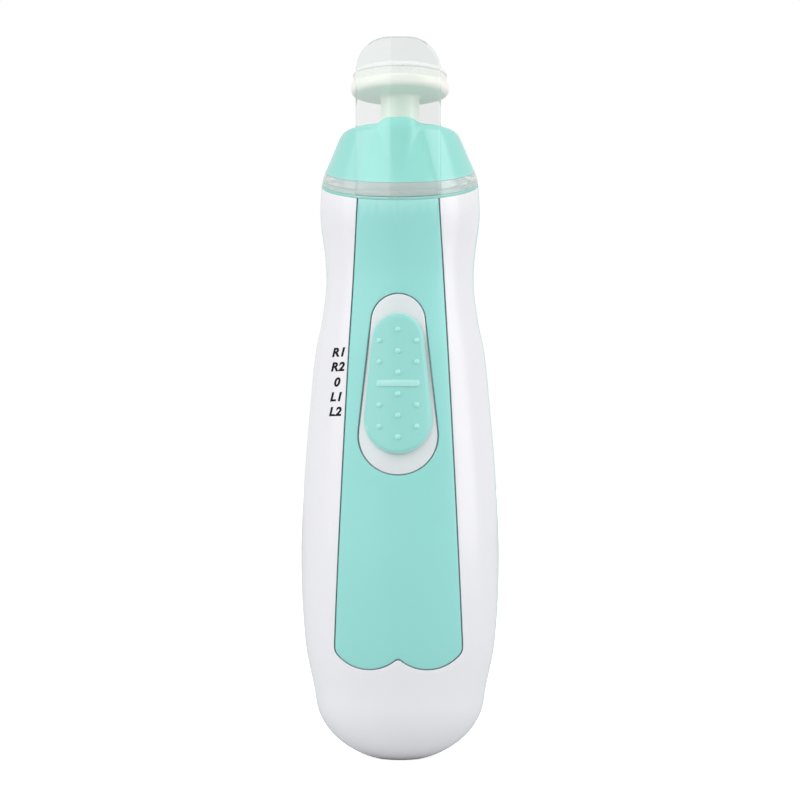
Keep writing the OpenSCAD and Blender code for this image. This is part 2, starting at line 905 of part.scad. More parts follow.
// Routes of the leads, from the cell contacts or the motor's terminals to the circuit board.
BATTERY_ROUTE = [
    [7.5, -1, 77.6], [7.5, -3, 77.6], [7.1, -4.8, 77.2], [6.6, -6.2, 76], [6, -7, 74], [5.6, -7.3, 71],
    [5.2, -7.6, 68.4], [5, -8.6, 66], [5, -9.9, 65.4]
];
MOTOR_ROUTE = [
    [6, 2.5, 95.6], [6, 2.5, 93.6], [6, 1.3, 91.6], [6, -0.8, 90.4], [6, -3.4, 89.8], [6, -5.6, 89.4],
    [6, -7.2, 89.2], [6, -8.8, 89.2]
];

function mirrored(route) = [for (p = route) [-p[0], p[1], p[2]]];

module battery_lead_red() {
    color("#c8382c") swept_tube(mirrored(BATTERY_ROUTE), lead_r);
}

module battery_lead_black() {
    color("#26282a") swept_tube(BATTERY_ROUTE, lead_r);
}

module motor_lead_red() {
    color("#c8382c") swept_tube(mirrored(MOTOR_ROUTE), lead_r);
}

module motor_lead_black() {
    color("#26282a") swept_tube(MOTOR_ROUTE, lead_r);
}

front_shell();
rear_shell();
front_panel();
battery_door();
light_ring();
clear_guard();
nose_cone();
slide_button();
switch_knob();
switch_housing();
circuit_board();
led_board();
leds();
motor_can();
motor_end_cap();
motor_plate();
motor_screws();
motor_shaft();
shaft_coupling();
drive_spindle();
spindle_bush();
disc_carrier();
foam_cushion();
abrasive_disc();
battery_tray();
battery_left();
battery_right();
spring_left();
spring_right();
contact_bridge();
contact_positive();
contact_negative();
shell_screws();
battery_lead_red();
battery_lead_black();
motor_lead_red();
motor_lead_black();
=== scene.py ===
import json
import math

import bmesh
import bpy
import numpy as np
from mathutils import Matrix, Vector, kdtree
from mathutils.geometry import delaunay_2d_cdt


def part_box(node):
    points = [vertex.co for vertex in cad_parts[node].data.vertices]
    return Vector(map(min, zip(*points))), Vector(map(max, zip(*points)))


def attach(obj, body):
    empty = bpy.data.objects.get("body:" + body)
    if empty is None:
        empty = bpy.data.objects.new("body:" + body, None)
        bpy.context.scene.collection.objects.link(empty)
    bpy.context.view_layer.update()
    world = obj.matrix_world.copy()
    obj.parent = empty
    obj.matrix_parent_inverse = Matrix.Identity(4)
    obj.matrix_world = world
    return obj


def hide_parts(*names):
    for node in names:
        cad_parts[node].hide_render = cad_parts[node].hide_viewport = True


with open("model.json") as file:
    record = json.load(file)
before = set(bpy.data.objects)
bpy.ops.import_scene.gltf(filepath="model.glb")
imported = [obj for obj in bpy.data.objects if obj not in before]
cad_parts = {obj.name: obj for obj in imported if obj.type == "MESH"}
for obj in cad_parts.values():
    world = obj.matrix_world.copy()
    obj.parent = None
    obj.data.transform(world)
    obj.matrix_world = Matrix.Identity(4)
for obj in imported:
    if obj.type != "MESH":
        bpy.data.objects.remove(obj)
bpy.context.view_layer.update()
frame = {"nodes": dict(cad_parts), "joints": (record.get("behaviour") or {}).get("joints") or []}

# Meshes are worked out in millimetres, and turned into metres when they are made. The camera,
# the lights, the floor and the heights in a material are in metres.
MM = 0.001


def box_mm(node):
    low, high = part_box(node)
    return [c / MM for c in low], [c / MM for c in high]


def add_object(name, data):
    made = bpy.data.objects.new(name, data)
    bpy.context.collection.objects.link(made)
    return made


# ---- Sizes, from the frame and the part's own driving dimensions

HANDLE_LOW, HANDLE_HIGH = box_mm("rear_shell")
GUARD_HIGH = box_mm("clear_guard")[1]
CARRIER_LOW, CARRIER_HIGH = box_mm("disc_carrier")
CUSHION_LOW, CUSHION_HIGH = box_mm("foam_cushion")
DISC_LOW, DISC_HIGH = box_mm("abrasive_disc")
NOSE_LOW_Z = box_mm("nose_cone")[0][2]

WALL = 2.4
SEAM_Y = -2.2
PANEL_T = 1.2
PANEL_GAP = 0.25
EDGE_R = 0.22

# The handle's side outline, foot to neck: height and half-width of a 45.2 mm wide handle.
OUTLINE = (
    (0, 17.9), (14, 19.3), (26, 21.6), (45, 22.6), (64, 21.8), (80, 20.5), (92, 19.3),
    (100, 17.7), (108, 16.8), (115, 17.2), (123, 18.2), (131, 17.85), (137, 17.4),
)
DEPTH_SHARE = 0.83
FLAT_BELOW = 50.0
ROUND_ABOVE = 123.0
FOOT_H = 13.8
FOOT_CUT = 0.8

RING_Z = 131.1
RING_TILT = math.radians(19.0)
RING_H = 2.6
NOSE_TILT = math.radians(17.8)
COLLAR_H = 0.6
NECK_Z = RING_Z - COLLAR_H
RING_LOW_R = 18.2
RING_BORE_R = 14.2
NOSE_FOOT_R = 17.0
GUARD_R = 18.75
GUARD_IN_R = 17.65
HAIR = 0.05

TRACK_Z = 84.3
TRACK_DEPTH = 0.6
BUTTON_RISE = 1.4
BUTTON_CROWN_R = 14.0
DOT_PITCH = 4.68


# ---- Small sums

SETTLE_ROUNDS = 8
HALVINGS = 40


def share(value, start, end):
    """How far the value is from start to end: 0 before start, 1 past end."""
    return min(max((value - start) / (end - start), 0.0), 1.0)


def ease(t):
    """0 to 1 like t, but level at both ends."""
    return 3 * t * t - 2 * t**3


def curve_point(start, middle, end, t):
    """A point on the curve from start to end that is drawn towards middle."""
    weights = ((1 - t) ** 2, 2 * t * (1 - t), t * t)
    return tuple(sum(w * c for w, c in zip(weights, cs)) for cs in zip(start, middle, end))


# ---- The handle's surface

FINE_STEP = 0.1


def smooth_outline():
    """The outline as a smooth curve: heights and half-widths, FINE_STEP apart."""
    z = np.array([p[0] for p in OUTLINE], float)
    w = np.array([p[1] for p in OUTLINE], float)
    slope = np.empty_like(w)
    slope[1:-1] = (w[2:] - w[:-2]) / (z[2:] - z[:-2])
    slope[0] = (w[1] - w[0]) / (z[1] - z[0])
    slope[-1] = (w[-1] - w[-2]) / (z[-1] - z[-2])
    fine = np.linspace(0, z[-1], round(z[-1] / FINE_STEP) + 1)
    i = np.clip(np.searchsorted(z, fine, side="right") - 1, 0, len(z) - 2)
    h = z[i + 1] - z[i]
    t = (fine - z[i]) / h
    half = (
        (2 * t**3 - 3 * t**2 + 1) * w[i]
        + (t**3 - 2 * t**2 + t) * h * slope[i]
        + (3 * t**2 - 2 * t**3) * w[i + 1]
        + (t**3 - t**2) * h * slope[i + 1]
    )
    below = np.maximum(FOOT_H - FOOT_CUT - fine, 0) / FOOT_H
    half *= np.sqrt(1 - below**2)
    wide = HANDLE_HIGH[0] - HANDLE_LOW[0]
    return fine, half * wide / (2 * half.max())


FINE_Z, FINE_W = smooth_outline()


def half_w(z):
    return float(np.interp(z, FINE_Z, FINE_W))


def half_d(z):
    roundness = ease(share(z, FLAT_BELOW, ROUND_ABOVE))
    return half_w(z) * (DEPTH_SHARE + (1 - DEPTH_SHARE) * roundness)


# A place on the surface is an angle round the axis and a distance along the surface from the
# middle of the foot: flat at first, then round the foot's edge, then straight up.
FOOT_R = half_w(0)
FOOT_ANGLE = math.acos((FOOT_H - FOOT_CUT) / FOOT_H)
ROUND_END = FOOT_R + FOOT_H * (math.pi / 2 - FOOT_ANGLE)


def height_at(v):
    if v < FOOT_R:
        return 0.0
    if v < ROUND_END:
        return FOOT_H - FOOT_CUT - FOOT_H * math.cos(FOOT_ANGLE + (v - FOOT_R) / FOOT_H)
    return FOOT_H - FOOT_CUT + v - ROUND_END


def along_at(z):
    if z < FOOT_H - FOOT_CUT:
        return FOOT_R + FOOT_H * (math.acos((FOOT_H - FOOT_CUT - z) / FOOT_H) - FOOT_ANGLE)
    return ROUND_END + z - FOOT_H + FOOT_CUT


def section(v, inset):
    """Half-width, half-depth and height of the surface moved in by inset."""
    z = height_at(v)
    outward = min(v / FOOT_R, 1.0)
    if z < inset:
        floor_w, floor_d = half_w(inset), half_d(inset)
        return (
            half_w(z) * outward * (floor_w - inset) / floor_w,
            half_d(z) * outward * (floor_d - inset) / floor_d,
            inset,
        )
    return half_w(z) * outward - inset, half_d(z) * outward - inset, z


def skin(place, inset=0.0):
    angle, v = place
    a, b, z = section(v, inset)
    return (a * math.cos(angle), b * math.sin(angle), z)


def flat(place):
    """The place on a flat map with the foot at its middle."""
    angle, v = place
    return (v * math.cos(angle), v * math.sin(angle))


def on_skin(x, z, side, inset=0.0):
    """The place straight in front of (side -1) or behind (side 1) a point in x and z."""
    v = along_at(z)
    cosine = x / section(v, inset)[0]
    return (side * math.acos(max(min(cosine, 1.0), -1.0)), v)


def seam(cut, inset, steps=150):
    """The parting line, from the right end of the rim down round the foot to the left end."""
    low, high = 0.0, ROUND_END
    for _ in range(HALVINGS):
        middle = (low + high) / 2
        if section(middle, inset)[1] < abs(cut):
            low = middle
        else:
            high = middle
    tip = high
    top = along_at(NECK_Z + cut * math.tan(RING_TILT))
    right = []
    for k in range(steps + 1):
        v = top + (tip - top) * k / steps
        sine = max(cut / section(v, inset)[1], -1.0)
        right.append((math.asin(sine), v))
    right[-1] = (-math.pi / 2, tip)
    left = [(-math.pi - angle, v) for angle, v in reversed(right[:-1])]
    return right + left


def neck_z(angle, inset):
    """Height of the handle's top edge, which lies on a plane that is low in front."""
    z = NECK_Z
    for _ in range(SETTLE_ROUNDS):
        z = NECK_Z + (half_d(z) - inset) * math.sin(angle) * math.tan(RING_TILT)
    return z


def rim(start, end, inset, steps, turn=0.0):
    """The handle's top edge from one place round to another; turn is added to start's angle."""
    places = [start]
    first, last = start[0] + turn, end[0]
    for k in range(1, steps):
        angle = first + (last - first) * k / steps
        places.append((angle, along_at(neck_z(angle, inset))))
    return [*places, end]


# ---- Outlines drawn in x and z

def arc(cx, cz, r, start, end, steps):
    angles = [math.radians(start + (end - start) * k / steps) for k in range(steps + 1)]
    return [(cx + r * math.cos(t), cz + r * math.sin(t)) for t in angles]


def line(start, end, steps):
    """Points from start up to, but not with, end."""
    return [tuple(s + (e - s) * k / steps for s, e in zip(start, end)) for k in range(steps)]


PANEL_FOOT_Z = 21.9
PANEL_LOW_W = 14.0
PANEL_HIGH_W = 8.75
PANEL_HIGH_Z = 126.0
PANEL_BOW = 0.25
LOBE_X = 6.6
LOBE_R = 9.25
LOBE_END = -43.0
CORNER_R = 2.2
NOTCH_ROUND = 7.0
LOBE_STEPS = 26
CORNER_STEPS = 9
SIDE_STEPS = 110
NOTCH_STEPS = 8


def panel_corner():
    turn = math.radians(LOBE_END)
    return (
        LOBE_X + (LOBE_R - CORNER_R) * math.cos(turn),
        PANEL_FOOT_Z + LOBE_R + (LOBE_R - CORNER_R) * math.sin(turn),
    )


def panel_half(z):
    foot = panel_corner()[1]
    t = (z - foot) / (PANEL_HIGH_Z - foot)
    return PANEL_LOW_W + (PANEL_HIGH_W - PANEL_LOW_W) * t + 4 * PANEL_BOW * t * (1 - t)


def panel_top_z(x):
    z = RING_Z
    for _ in range(SETTLE_ROUNDS):
        y = -half_d(z) * math.sqrt(max(1 - (x / half_w(z)) ** 2, 0.0))
        z = NECK_Z + y * math.tan(RING_TILT)
    return z


def panel_sides(grow):
    """The panel's outline without its top edge, from the top right corner round the foot."""
    corner_x, corner_z = panel_corner()
    lobe_z = PANEL_FOOT_Z + LOBE_R
    notch = 180 + math.degrees(math.acos(LOBE_X / (LOBE_R + grow)))
    lobe = arc(LOBE_X, lobe_z, LOBE_R + grow, 360 + LOBE_END, notch + NOTCH_ROUND, LOBE_STEPS)
    corner = arc(corner_x, corner_z, CORNER_R + grow, 0, LOBE_END, CORNER_STEPS)
    top_x = panel_half(PANEL_HIGH_Z) + grow
    top_z = panel_top_z(top_x)
    side = []
    for k in range(SIDE_STEPS):
        z = top_z + (corner_z - top_z) * k / SIDE_STEPS
        side.append((panel_half(z) + grow, z))
    x, z = lobe[-1]
    cusp = (0, lobe_z + (LOBE_R + grow) * math.sin(math.radians(notch)))
    notch_round = [
        curve_point((x, z), cusp, (-x, z), k / NOTCH_STEPS)
        for k in range(1, NOTCH_STEPS // 2 + 1)
    ]
    right = side + corner + lobe[1:] + notch_round
    left = [(-x, z) for x, z in reversed(right[:-1])]
    return right + left


def panel_top(grow, steps=18):
    """The panel's top edge, from left to right, without its two ends."""
    top_x = panel_half(PANEL_HIGH_Z) + grow
    xs = [-top_x + 2 * top_x * k / steps for k in range(1, steps)]
    return [(x, panel_top_z(x)) for x in xs]


BOW_OUT = 0.003
EGG_STEPS = (36, 22, 44)


def bowed(start, end, steps):
    """Points between start and end on a side that bows out, so that no three are in line."""
    out = BOW_OUT if start[0] > 0 else -BOW_OUT
    points = line(start, end, steps)[1:]
    return [(x + out * math.sin(math.pi * (k + 1) / steps), z) for k, (x, z) in enumerate(points)]


def egg(half_l, high_r, low_r, grow):
    """The outline round two circles that reach half_l up and down, anticlockwise."""
    high_z, low_z = half_l - high_r, low_r - half_l
    lean = math.degrees(math.asin((low_r - high_r) / (high_z - low_z)))
    high_steps, side_steps, low_steps = EGG_STEPS
    high = arc(0, high_z, high_r + grow, lean, 180 - lean, high_steps)
    low = arc(0, low_z, low_r + grow, 180 - lean, 360 + lean, low_steps)
    left = bowed(high[-1], low[0], side_steps)
    right = bowed(low[-1], high[0], side_steps)
    return high + left + low + right


def rounded_box(low_x, low_z, high_x, high_z, r, grow=0.0, corner_steps=8, side_steps=10):
    corners = (
        (high_x - r, low_z + r, 270), (high_x - r, high_z - r, 0),
        (low_x + r, high_z - r, 90), (low_x + r, low_z + r, 180),
    )
    points = []
    arcs = [arc(x, z, r + grow, start, start + 90, corner_steps) for x, z, start in corners]
    for corner, following in zip(arcs, arcs[1:] + arcs[:1]):
        points += corner
        points += line(corner[-1], following[0], side_steps)[1:]
    return points


def circle(x, z, r, steps=32):
    return arc(x, z, r, 0, 360 - 360 / steps, steps - 1)


# ---- The button's track

SLOPE = math.asin([j for j in frame["joints"] if j["name"] == "switch_slide"][0]["axis"][1])
TRACK_Y = -half_d(TRACK_Z)
TRACK_R = half_w(TRACK_Z) ** 2 / half_d(TRACK_Z)
TRACK_SINK = 0.04
TRACK_SLOT = (-1.9, -6.4, 1.9, 6.4, 0.4)
TRACK_GRID = (8.4, 19.2, 0.8)
RECESS_EGG = (20.0, 6.1, 8.9)
RECESS_ROUNDS = 4


def track_point(x, depth, along):
    y = TRACK_Y + depth * math.cos(SLOPE) + along * math.sin(SLOPE)
    z = TRACK_Z - depth * math.sin(SLOPE) + along * math.cos(SLOPE)
    return (x, y, z)


def track_floor(x, depth):
    return TRACK_R - math.sqrt((TRACK_R - depth) ** 2 - x * x)


def track_top(x, along, deeper=0.0):
    """A point on the raised track, which is never proud of the handle's surface."""
    x, y, z = track_point(x, track_floor(x, TRACK_DEPTH), along)
    surface = -half_d(z) * math.sqrt(1 - (x / half_w(z)) ** 2) + TRACK_SINK
    return (x, max(y, surface) + deeper, z)


def recess_on_skin(inset, grow):
    """The recess's outline in x and z, carried straight to the surface moved in by inset."""
    points = []
    for x, along in egg(*RECESS_EGG, grow):
        depth = 0.0
        for _ in range(RECESS_ROUNDS):
            z = track_point(x, depth, along)[2]
            a, b = half_w(z) - inset, half_d(z) - inset
            y = -b * math.sqrt(1 - (x / a) ** 2)
            depth = (y - TRACK_Y - along * math.sin(SLOPE)) / math.cos(SLOPE)
        points.append((x, z))
    return points


# ---- Mesh making

# Grid points closer to an edge than this share of their spacing are left out of a patch.
EDGE_SHARE = 0.55
SAME_POINT = 1e-6

# In metres: points closer than this are welded, and shorter edges are removed.
WELD = 2e-6
SLIVER = 1e-7


def inside(points, loop):
    """Which of the points lie inside the closed loop, by counting edge crossings."""
    found = np.zeros(len(points), bool)
    ring = np.asarray(loop)
    for (x0, y0), (x1, y1) in zip(ring, np.roll(ring, -1, axis=0)):
        if y0 == y1:
            continue
        between = (points[:, 1] > min(y0, y1)) & (points[:, 1] <= max(y0, y1))
        cross = x0 + (points[:, 1] - y0) * (x1 - x0) / (y1 - y0)
        found ^= between & (points[:, 0] < cross)
    return found


def within(points, loops):
    """Which of the points lie inside the first loop and outside the others."""
    found = inside(points, loops[0])
    for hole in loops[1:]:
        found &= ~inside(points, hole)
    return found


class Piece:
    """One closed piece in the making. Patches and strips share points exactly, and are welded."""

    def __init__(self, name):
        self.name = name
        self.points = []
        self.faces = []
        self.coats = []

    def coat(self, number):
        """Faces added from here on take the piece's material of this number."""
        self.coats.append((len(self.faces), number))

    def add(self, points):
        start = len(self.points)
        self.points += [tuple(p) for p in points]
        return range(start, len(self.points))

    def strip(self, rows, closed=True):
        """Quads between each row of points and the next."""
        rows = [self.add(row) for row in rows]
        for a, b in zip(rows, rows[1:]):
            last = len(a) if closed else len(a) - 1
            for k in range(last):
                n = (k + 1) % len(a)
                self.faces.append((a[k], a[n], b[n], b[k]))

    def fan(self, row, tip):
        row = self.add(row)
        middle = self.add([tip])[0]
        for k in range(len(row)):
            self.faces.append((row[k], row[(k + 1) % len(row)], middle))

    def patch(self, loops, flats, grid=(), grid_flats=(), spacing=1.0):
        """Triangles inside the first loop and outside the others, through the grid's points."""
        edge_points = [p for loop in loops for p in loop]
        flat_points = [f for loop in flats for f in loop]
        edges = []
        start = 0
        for loop in loops:
            n = len(loop)
            edges += [(start + k, start + (k + 1) % n) for k in range(n)]
            start += n
        if len(grid):
            tree = kdtree.KDTree(len(edge_points))
            for k, p in enumerate(edge_points):
                tree.insert(p, k)
            tree.balance()
            for k in np.nonzero(within(np.asarray(grid_flats), flats))[0]:
                if tree.find(grid[k])[2] > EDGE_SHARE * spacing:
                    edge_points.append(grid[k])
                    flat_points.append(grid_flats[k])
        out = delaunay_2d_cdt([Vector(f) for f in flat_points], edges, [], 0, SAME_POINT)
        ids = self.add([edge_points[source[0]] for source in out[3]])
        corners = np.array([tuple(v) for v in out[0]])
        triangles = np.array([tuple(f) for f in out[2]])
        middles = corners[triangles].mean(axis=1)
        for triangle in triangles[within(middles, flats)]:
            self.faces.append(tuple(ids[int(k)] for k in triangle))

    def lid(self, loop):
        """Triangles over a loop that is seen whole from above."""
        self.patch([loop], [[(p[0], p[1]) for p in loop]])

    def build(self, body, material, sharp=35.0, second=None):
        """The finished piece, moving with a body. Edges turned by more than sharp stay sharp."""
        mesh = bpy.data.meshes.new(self.name)
        mesh.from_pydata([[c * MM for c in p] for p in self.points], [], self.faces)
        mesh.materials.append(material)
        if second:
            mesh.materials.append(second)
        numbers = np.zeros(len(self.faces), int)
        for start, number in self.coats:
            numbers[start:] = number
        mesh.polygons.foreach_set("material_index", numbers)
        work = bmesh.new()
        work.from_mesh(mesh)
        bmesh.ops.remove_doubles(work, verts=work.verts, dist=WELD)
        bmesh.ops.dissolve_degenerate(work, edges=work.edges, dist=SLIVER)
        bmesh.ops.recalc_face_normals(work, faces=work.faces)
        open_edges = sum(1 for e in work.edges if len(e.link_faces) != 2)
        if open_edges:
            print("open edges in", self.name, open_edges)
        work.to_mesh(mesh)
        work.free()
        mesh.shade_smooth()
        mesh.set_sharp_from_angle(angle=math.radians(sharp))
        piece = add_object(self.name, mesh)
        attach(piece, body)
        return piece


SKIN_SPACING = 1.2
SKIN_TURNS = 84
CROWDED_BELOW = 4


def skin_grid():
    """Places all over the handle's surface, with every fourth kept where they crowd."""
    top = along_at(FINE_Z[-1])
    rows = int(top / SKIN_SPACING)
    return [
        (-math.pi + 2 * math.pi * (k + 0.5 * (j % 2)) / SKIN_TURNS, top * j / rows)
        for j in range(1, rows)
        for k in range(SKIN_TURNS)
        if j * SKIN_SPACING > CROWDED_BELOW or k % 4 == 0
    ]


GRID = skin_grid()
GRID_FLAT = [flat(p) for p in GRID]


def skin_patch(piece, inset, outer, holes=()):
    """A patch of the handle's surface, moved in by inset, inside a loop of places."""
    loops = [outer, *holes]
    piece.patch(
        [[skin(p, inset) for p in loop] for loop in loops],
        [[flat(p) for p in loop] for loop in loops],
        [skin(p, inset) for p in GRID],
        GRID_FLAT,
        spacing=SKIN_SPACING,
    )


def flat_grid(half_x, half_along, spacing):
    """A square grid of points, with its far edges."""
    halves = (half_x, half_along)
    xs, alongs = np.meshgrid(*(np.arange(-h, h + spacing / 8, spacing) for h in halves))
    return list(zip(xs.ravel(), alongs.ravel()))


def on_skins(outline, side, inset):
    return [on_skin(x, z, side, inset) for x, z in outline]


def skin_row(outline, side, inset):
    return [skin(p, inset) for p in on_skins(outline, side, inset)]


# A rounded edge, outside to inside: how far in from the wall, and how deep.
ROUND_EDGE = tuple(
    (EDGE_R * (1 - math.sin(math.radians(t))), EDGE_R * (1 - math.cos(math.radians(t))))
    for t in (0, 22.5, 45, 67.5, 90)
)


def edge_rows(start, side, depth):
    """A rounded edge that ends at start, then the wall down to depth."""
    return [(start + side * back, deep) for back, deep in ROUND_EDGE] + [(start, depth)]


# ---- Shells

def seam_rows(side):
    """The parting line's rows, each with how deep it lies."""
    return [(seam(cut, inset), inset) for cut, inset in edge_rows(SEAM_Y, side, WALL)]


def front_shell(material, shaded_track_material):
    piece = Piece("front_shell_skin")
    rows = seam_rows(-1)
    strip = [[skin(p, inset) for p in row] for row, inset in rows]
    piece.strip(strip, closed=False)

    # The pocket's wall, and the rim on both sides of it
    pocket = edge_rows(PANEL_GAP, 1, PANEL_T)
    pocket_rows = [skin_row(panel_sides(grow), -1, inset) for grow, inset in pocket]
    piece.strip(pocket_rows, closed=False)
    edge_path = on_skins(panel_sides(pocket[0][0]), -1, 0.0)
    seam_path = rows[0][0]
    right_rim = rim(edge_path[0], seam_path[0], 0.0, steps=24)
    left_rim = rim(seam_path[-1], edge_path[-1], 0.0, steps=24)
    skin_patch(piece, 0.0, seam_path + left_rim[1:-1] + edge_path[::-1] + right_rim[1:-1])

    # The pocket's floor, and the raised track that the button slides on
    floor_sides = on_skins(panel_sides(PANEL_GAP), -1, PANEL_T)
    floor_top = on_skins(panel_top(PANEL_GAP), -1, PANEL_T)
    track_foot = recess_on_skin(PANEL_T, -PANEL_GAP)
    skin_patch(piece, PANEL_T, floor_sides + floor_top, [on_skins(track_foot, -1, PANEL_T)])
    wall = [skin_row(track_foot, -1, PANEL_T)]
    for back, deep in ROUND_EDGE[::-1]:
        wall.append([track_top(x, along, deep) for x, along in egg(*RECESS_EGG, -PANEL_GAP - back)])
    piece.strip(wall)
    track_edge = egg(*RECESS_EGG, -PANEL_GAP - EDGE_R)
    slot = rounded_box(*TRACK_SLOT)
    slot_top = [track_top(x, along) for x, along in slot]
    grid = flat_grid(*TRACK_GRID)
    # The track's top takes the second material, the white made darker and tinted mint: painted
    # shade of the recess round it
    piece.coat(1)
    piece.patch([wall[-1], slot_top], [track_edge, slot],
                [track_top(*place) for place in grid], grid, TRACK_GRID[2])
    piece.coat(0)
    slot_in = on_skins([(x, TRACK_Z + along) for x, along in slot], -1, WALL)
    piece.strip([slot_top, [skin(p, WALL) for p in slot_in]])

    # The inside, and the flat top edge
    inner_seam = rows[-1][0]
    inner_rim = rim(inner_seam[-1], inner_seam[0], WALL, steps=60)
    skin_patch(piece, WALL, inner_seam + inner_rim[1:-1], [slot_in])
    top_loop = (
        [skin(p) for p in right_rim[1:]]
        + [row[0] for row in strip[1:]]
        + [skin(p, WALL) for p in inner_rim[-2:0:-1]]
        + [row[-1] for row in strip[::-1]]
        + [skin(p) for p in left_rim[1:-1]]
        + [row[-1] for row in pocket_rows]
        + [skin(p, PANEL_T) for p in floor_top]
        + [row[0] for row in pocket_rows[::-1]]
    )
    piece.lid(top_loop)
    shell = piece.build("handle", material, second=shaded_track_material)
    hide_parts("front_shell")


DOOR = (-13.0, 17.0, 13.0, 78.0, 5.0)
DOOR_GAP = 0.3
SCREWS = ((-12.4, 84.0), (12.4, 84.0), (0.0, 11.5))
SCREW_SEAT_Y = 6.0
COUNTERBORE_R = 2.45
CLEARANCE_R = 1.3
BOSS_R = 3.1


def rear_shell(material):
    piece = Piece("rear_shell_skin")
    rows = seam_rows(1)
    strip = [[skin(p, inset) for p in row] for row, inset in rows]
    piece.strip(strip, closed=False)

    # The opening for the battery door, and the three screw holes
    door_rows = edge_rows(DOOR_GAP, 1, WALL)
    piece.strip([skin_row(rounded_box(*DOOR, grow=grow), 1, inset) for grow, inset in door_rows])
    outer_holes = [on_skins(rounded_box(*DOOR, grow=door_rows[0][0]), 1, 0.0)]
    inner_holes = [on_skins(rounded_box(*DOOR, grow=DOOR_GAP), 1, WALL)]
    for x, z in SCREWS:
        mouth = [(COUNTERBORE_R + back, deep) for back, deep in ROUND_EDGE]
        hole = [skin_row(circle(x, z, r), 1, inset) for r, inset in mouth]
        steps = (
            (COUNTERBORE_R, SCREW_SEAT_Y), (CLEARANCE_R, SCREW_SEAT_Y),
            (CLEARANCE_R, SEAM_Y), (BOSS_R, SEAM_Y),
        )
        hole += [[(px, y, pz) for px, pz in circle(x, z, r)] for r, y in steps]
        hole.append(skin_row(circle(x, z, BOSS_R), 1, WALL))
        piece.strip(hole)
        outer_holes.append(on_skins(circle(x, z, mouth[0][0]), 1, 0.0))
        inner_holes.append(on_skins(circle(x, z, BOSS_R), 1, WALL))

    # The outside, the inside and the flat top edge
    edges = []
    for (cut_row, inset), holes in ((rows[0], outer_holes), (rows[-1], inner_holes)):
        top = rim(cut_row[-1], cut_row[0], inset, steps=96, turn=2 * math.pi)
        skin_patch(piece, inset, cut_row + top[1:-1], holes)
        edges.append([skin(p, inset) for p in top])
    outer_edge, inner_edge = edges
    top_loop = (
        outer_edge
        + [row[0] for row in strip[1:-1]]
        + inner_edge[::-1]
        + [row[-1] for row in strip[-2:0:-1]]
    )
    piece.lid(top_loop)
    shell = piece.build("handle", material)
    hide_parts("rear_shell")


PANEL_CLEAR = 0.02


def front_panel(material):
    piece = Piece("front_panel_skin")
    under = PANEL_T - PANEL_CLEAR
    rows = edge_rows(0.0, -1, under)
    side_rows = [skin_row(panel_sides(grow), -1, inset) for grow, inset in rows]
    piece.strip(side_rows, closed=False)
    hole_rows = [on_skins(recess_on_skin(inset, -grow), -1, inset) for grow, inset in rows]
    piece.strip([[skin(p, inset) for p in row] for row, (_, inset) in zip(hole_rows, rows)])
    for k in (0, -1):
        grow, inset = rows[k]
        loop = on_skins(panel_sides(grow) + panel_top(grow), -1, inset)
        skin_patch(piece, inset, loop, [hole_rows[k]])
    top_loop = (
        skin_row(panel_top(rows[0][0]), -1, 0.0)
        + [row[0] for row in side_rows]
        + skin_row(panel_top(0.0), -1, under)[::-1]
        + [row[-1] for row in side_rows[::-1]]
    )
    piece.lid(top_loop)
    panel = piece.build("handle", material)
    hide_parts("front_panel")


def raise_box(piece, box, side, place):
    """A low block on a surface, its rows put there by place(outline, rise). Gives its foot."""
    outlines = [rounded_box(*box, grow=-back) for back, _ in side]
    rows = [place(outline, rise) for outline, (_, rise) in zip(outlines, side)]
    piece.strip(rows)
    piece.patch([rows[-1]], [outlines[-1]])
    return outlines[0]


RIB_ZS = (63.5, 65.9, 68.3, 70.7, 73.1)
RIB_HALF_L = 7.0
RIB_HALF_H = 0.6
RIB_R = 0.5

# A grip rib's side, foot to top: how far in, and how high.
RIB_SIDE = ((0.0, 0.0), (0.05, 0.24), (0.15, 0.36), (0.3, 0.4))


def battery_door(material):
    piece = Piece("battery_door_skin")
    rows = edge_rows(0.0, -1, WALL)
    piece.strip([skin_row(rounded_box(*DOOR, grow=grow), 1, inset) for grow, inset in rows])
    ribs = []
    for z in RIB_ZS:
        box = (-RIB_HALF_L, z - RIB_HALF_H, RIB_HALF_L, z + RIB_HALF_H, RIB_R)
        foot = raise_box(piece, box, RIB_SIDE, lambda row, rise: skin_row(row, 1, -rise))
        ribs.append(on_skins(foot, 1, 0.0))
    skin_patch(piece, 0.0, on_skins(rounded_box(*DOOR, grow=rows[0][0]), 1, 0.0), ribs)
    skin_patch(piece, WALL, on_skins(rounded_box(*DOOR), 1, WALL))
    door = piece.build("door", material)
    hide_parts("battery_door")


# ---- Head

TURNS = 160
ANGLES = [2 * math.pi * k / TURNS for k in range(TURNS)]


def slanted(r, z_axis, tilt):
    """A circle seen from above, standing on a plane that is low at the front."""
    return [
        (r * math.cos(t), r * math.sin(t), z_axis + r * math.sin(t) * math.tan(tilt))
        for t in ANGLES
    ]


def level(r, z):
    return slanted(r, z, 0.0)


RING_SOFT = 0.2
RING_NOTCH_X = 9.4

# The shallow groove round the ring: where along its height, how wide each way, how deep.
GROOVE_AT = 0.42
GROOVE_HALF = 0.1
GROOVE_DEEP = 0.16


def groove(foot, head):
    """Three points of the groove on the way from foot to head."""
    points = []
    for f, deep in ((-GROOVE_HALF, 0.0), (0.0, GROOVE_DEEP), (GROOVE_HALF, 0.0)):
        r, z = (a + (b - a) * (GROOVE_AT + f) for a, b in zip(foot, head))
        points.append((r - deep, z))
    return points


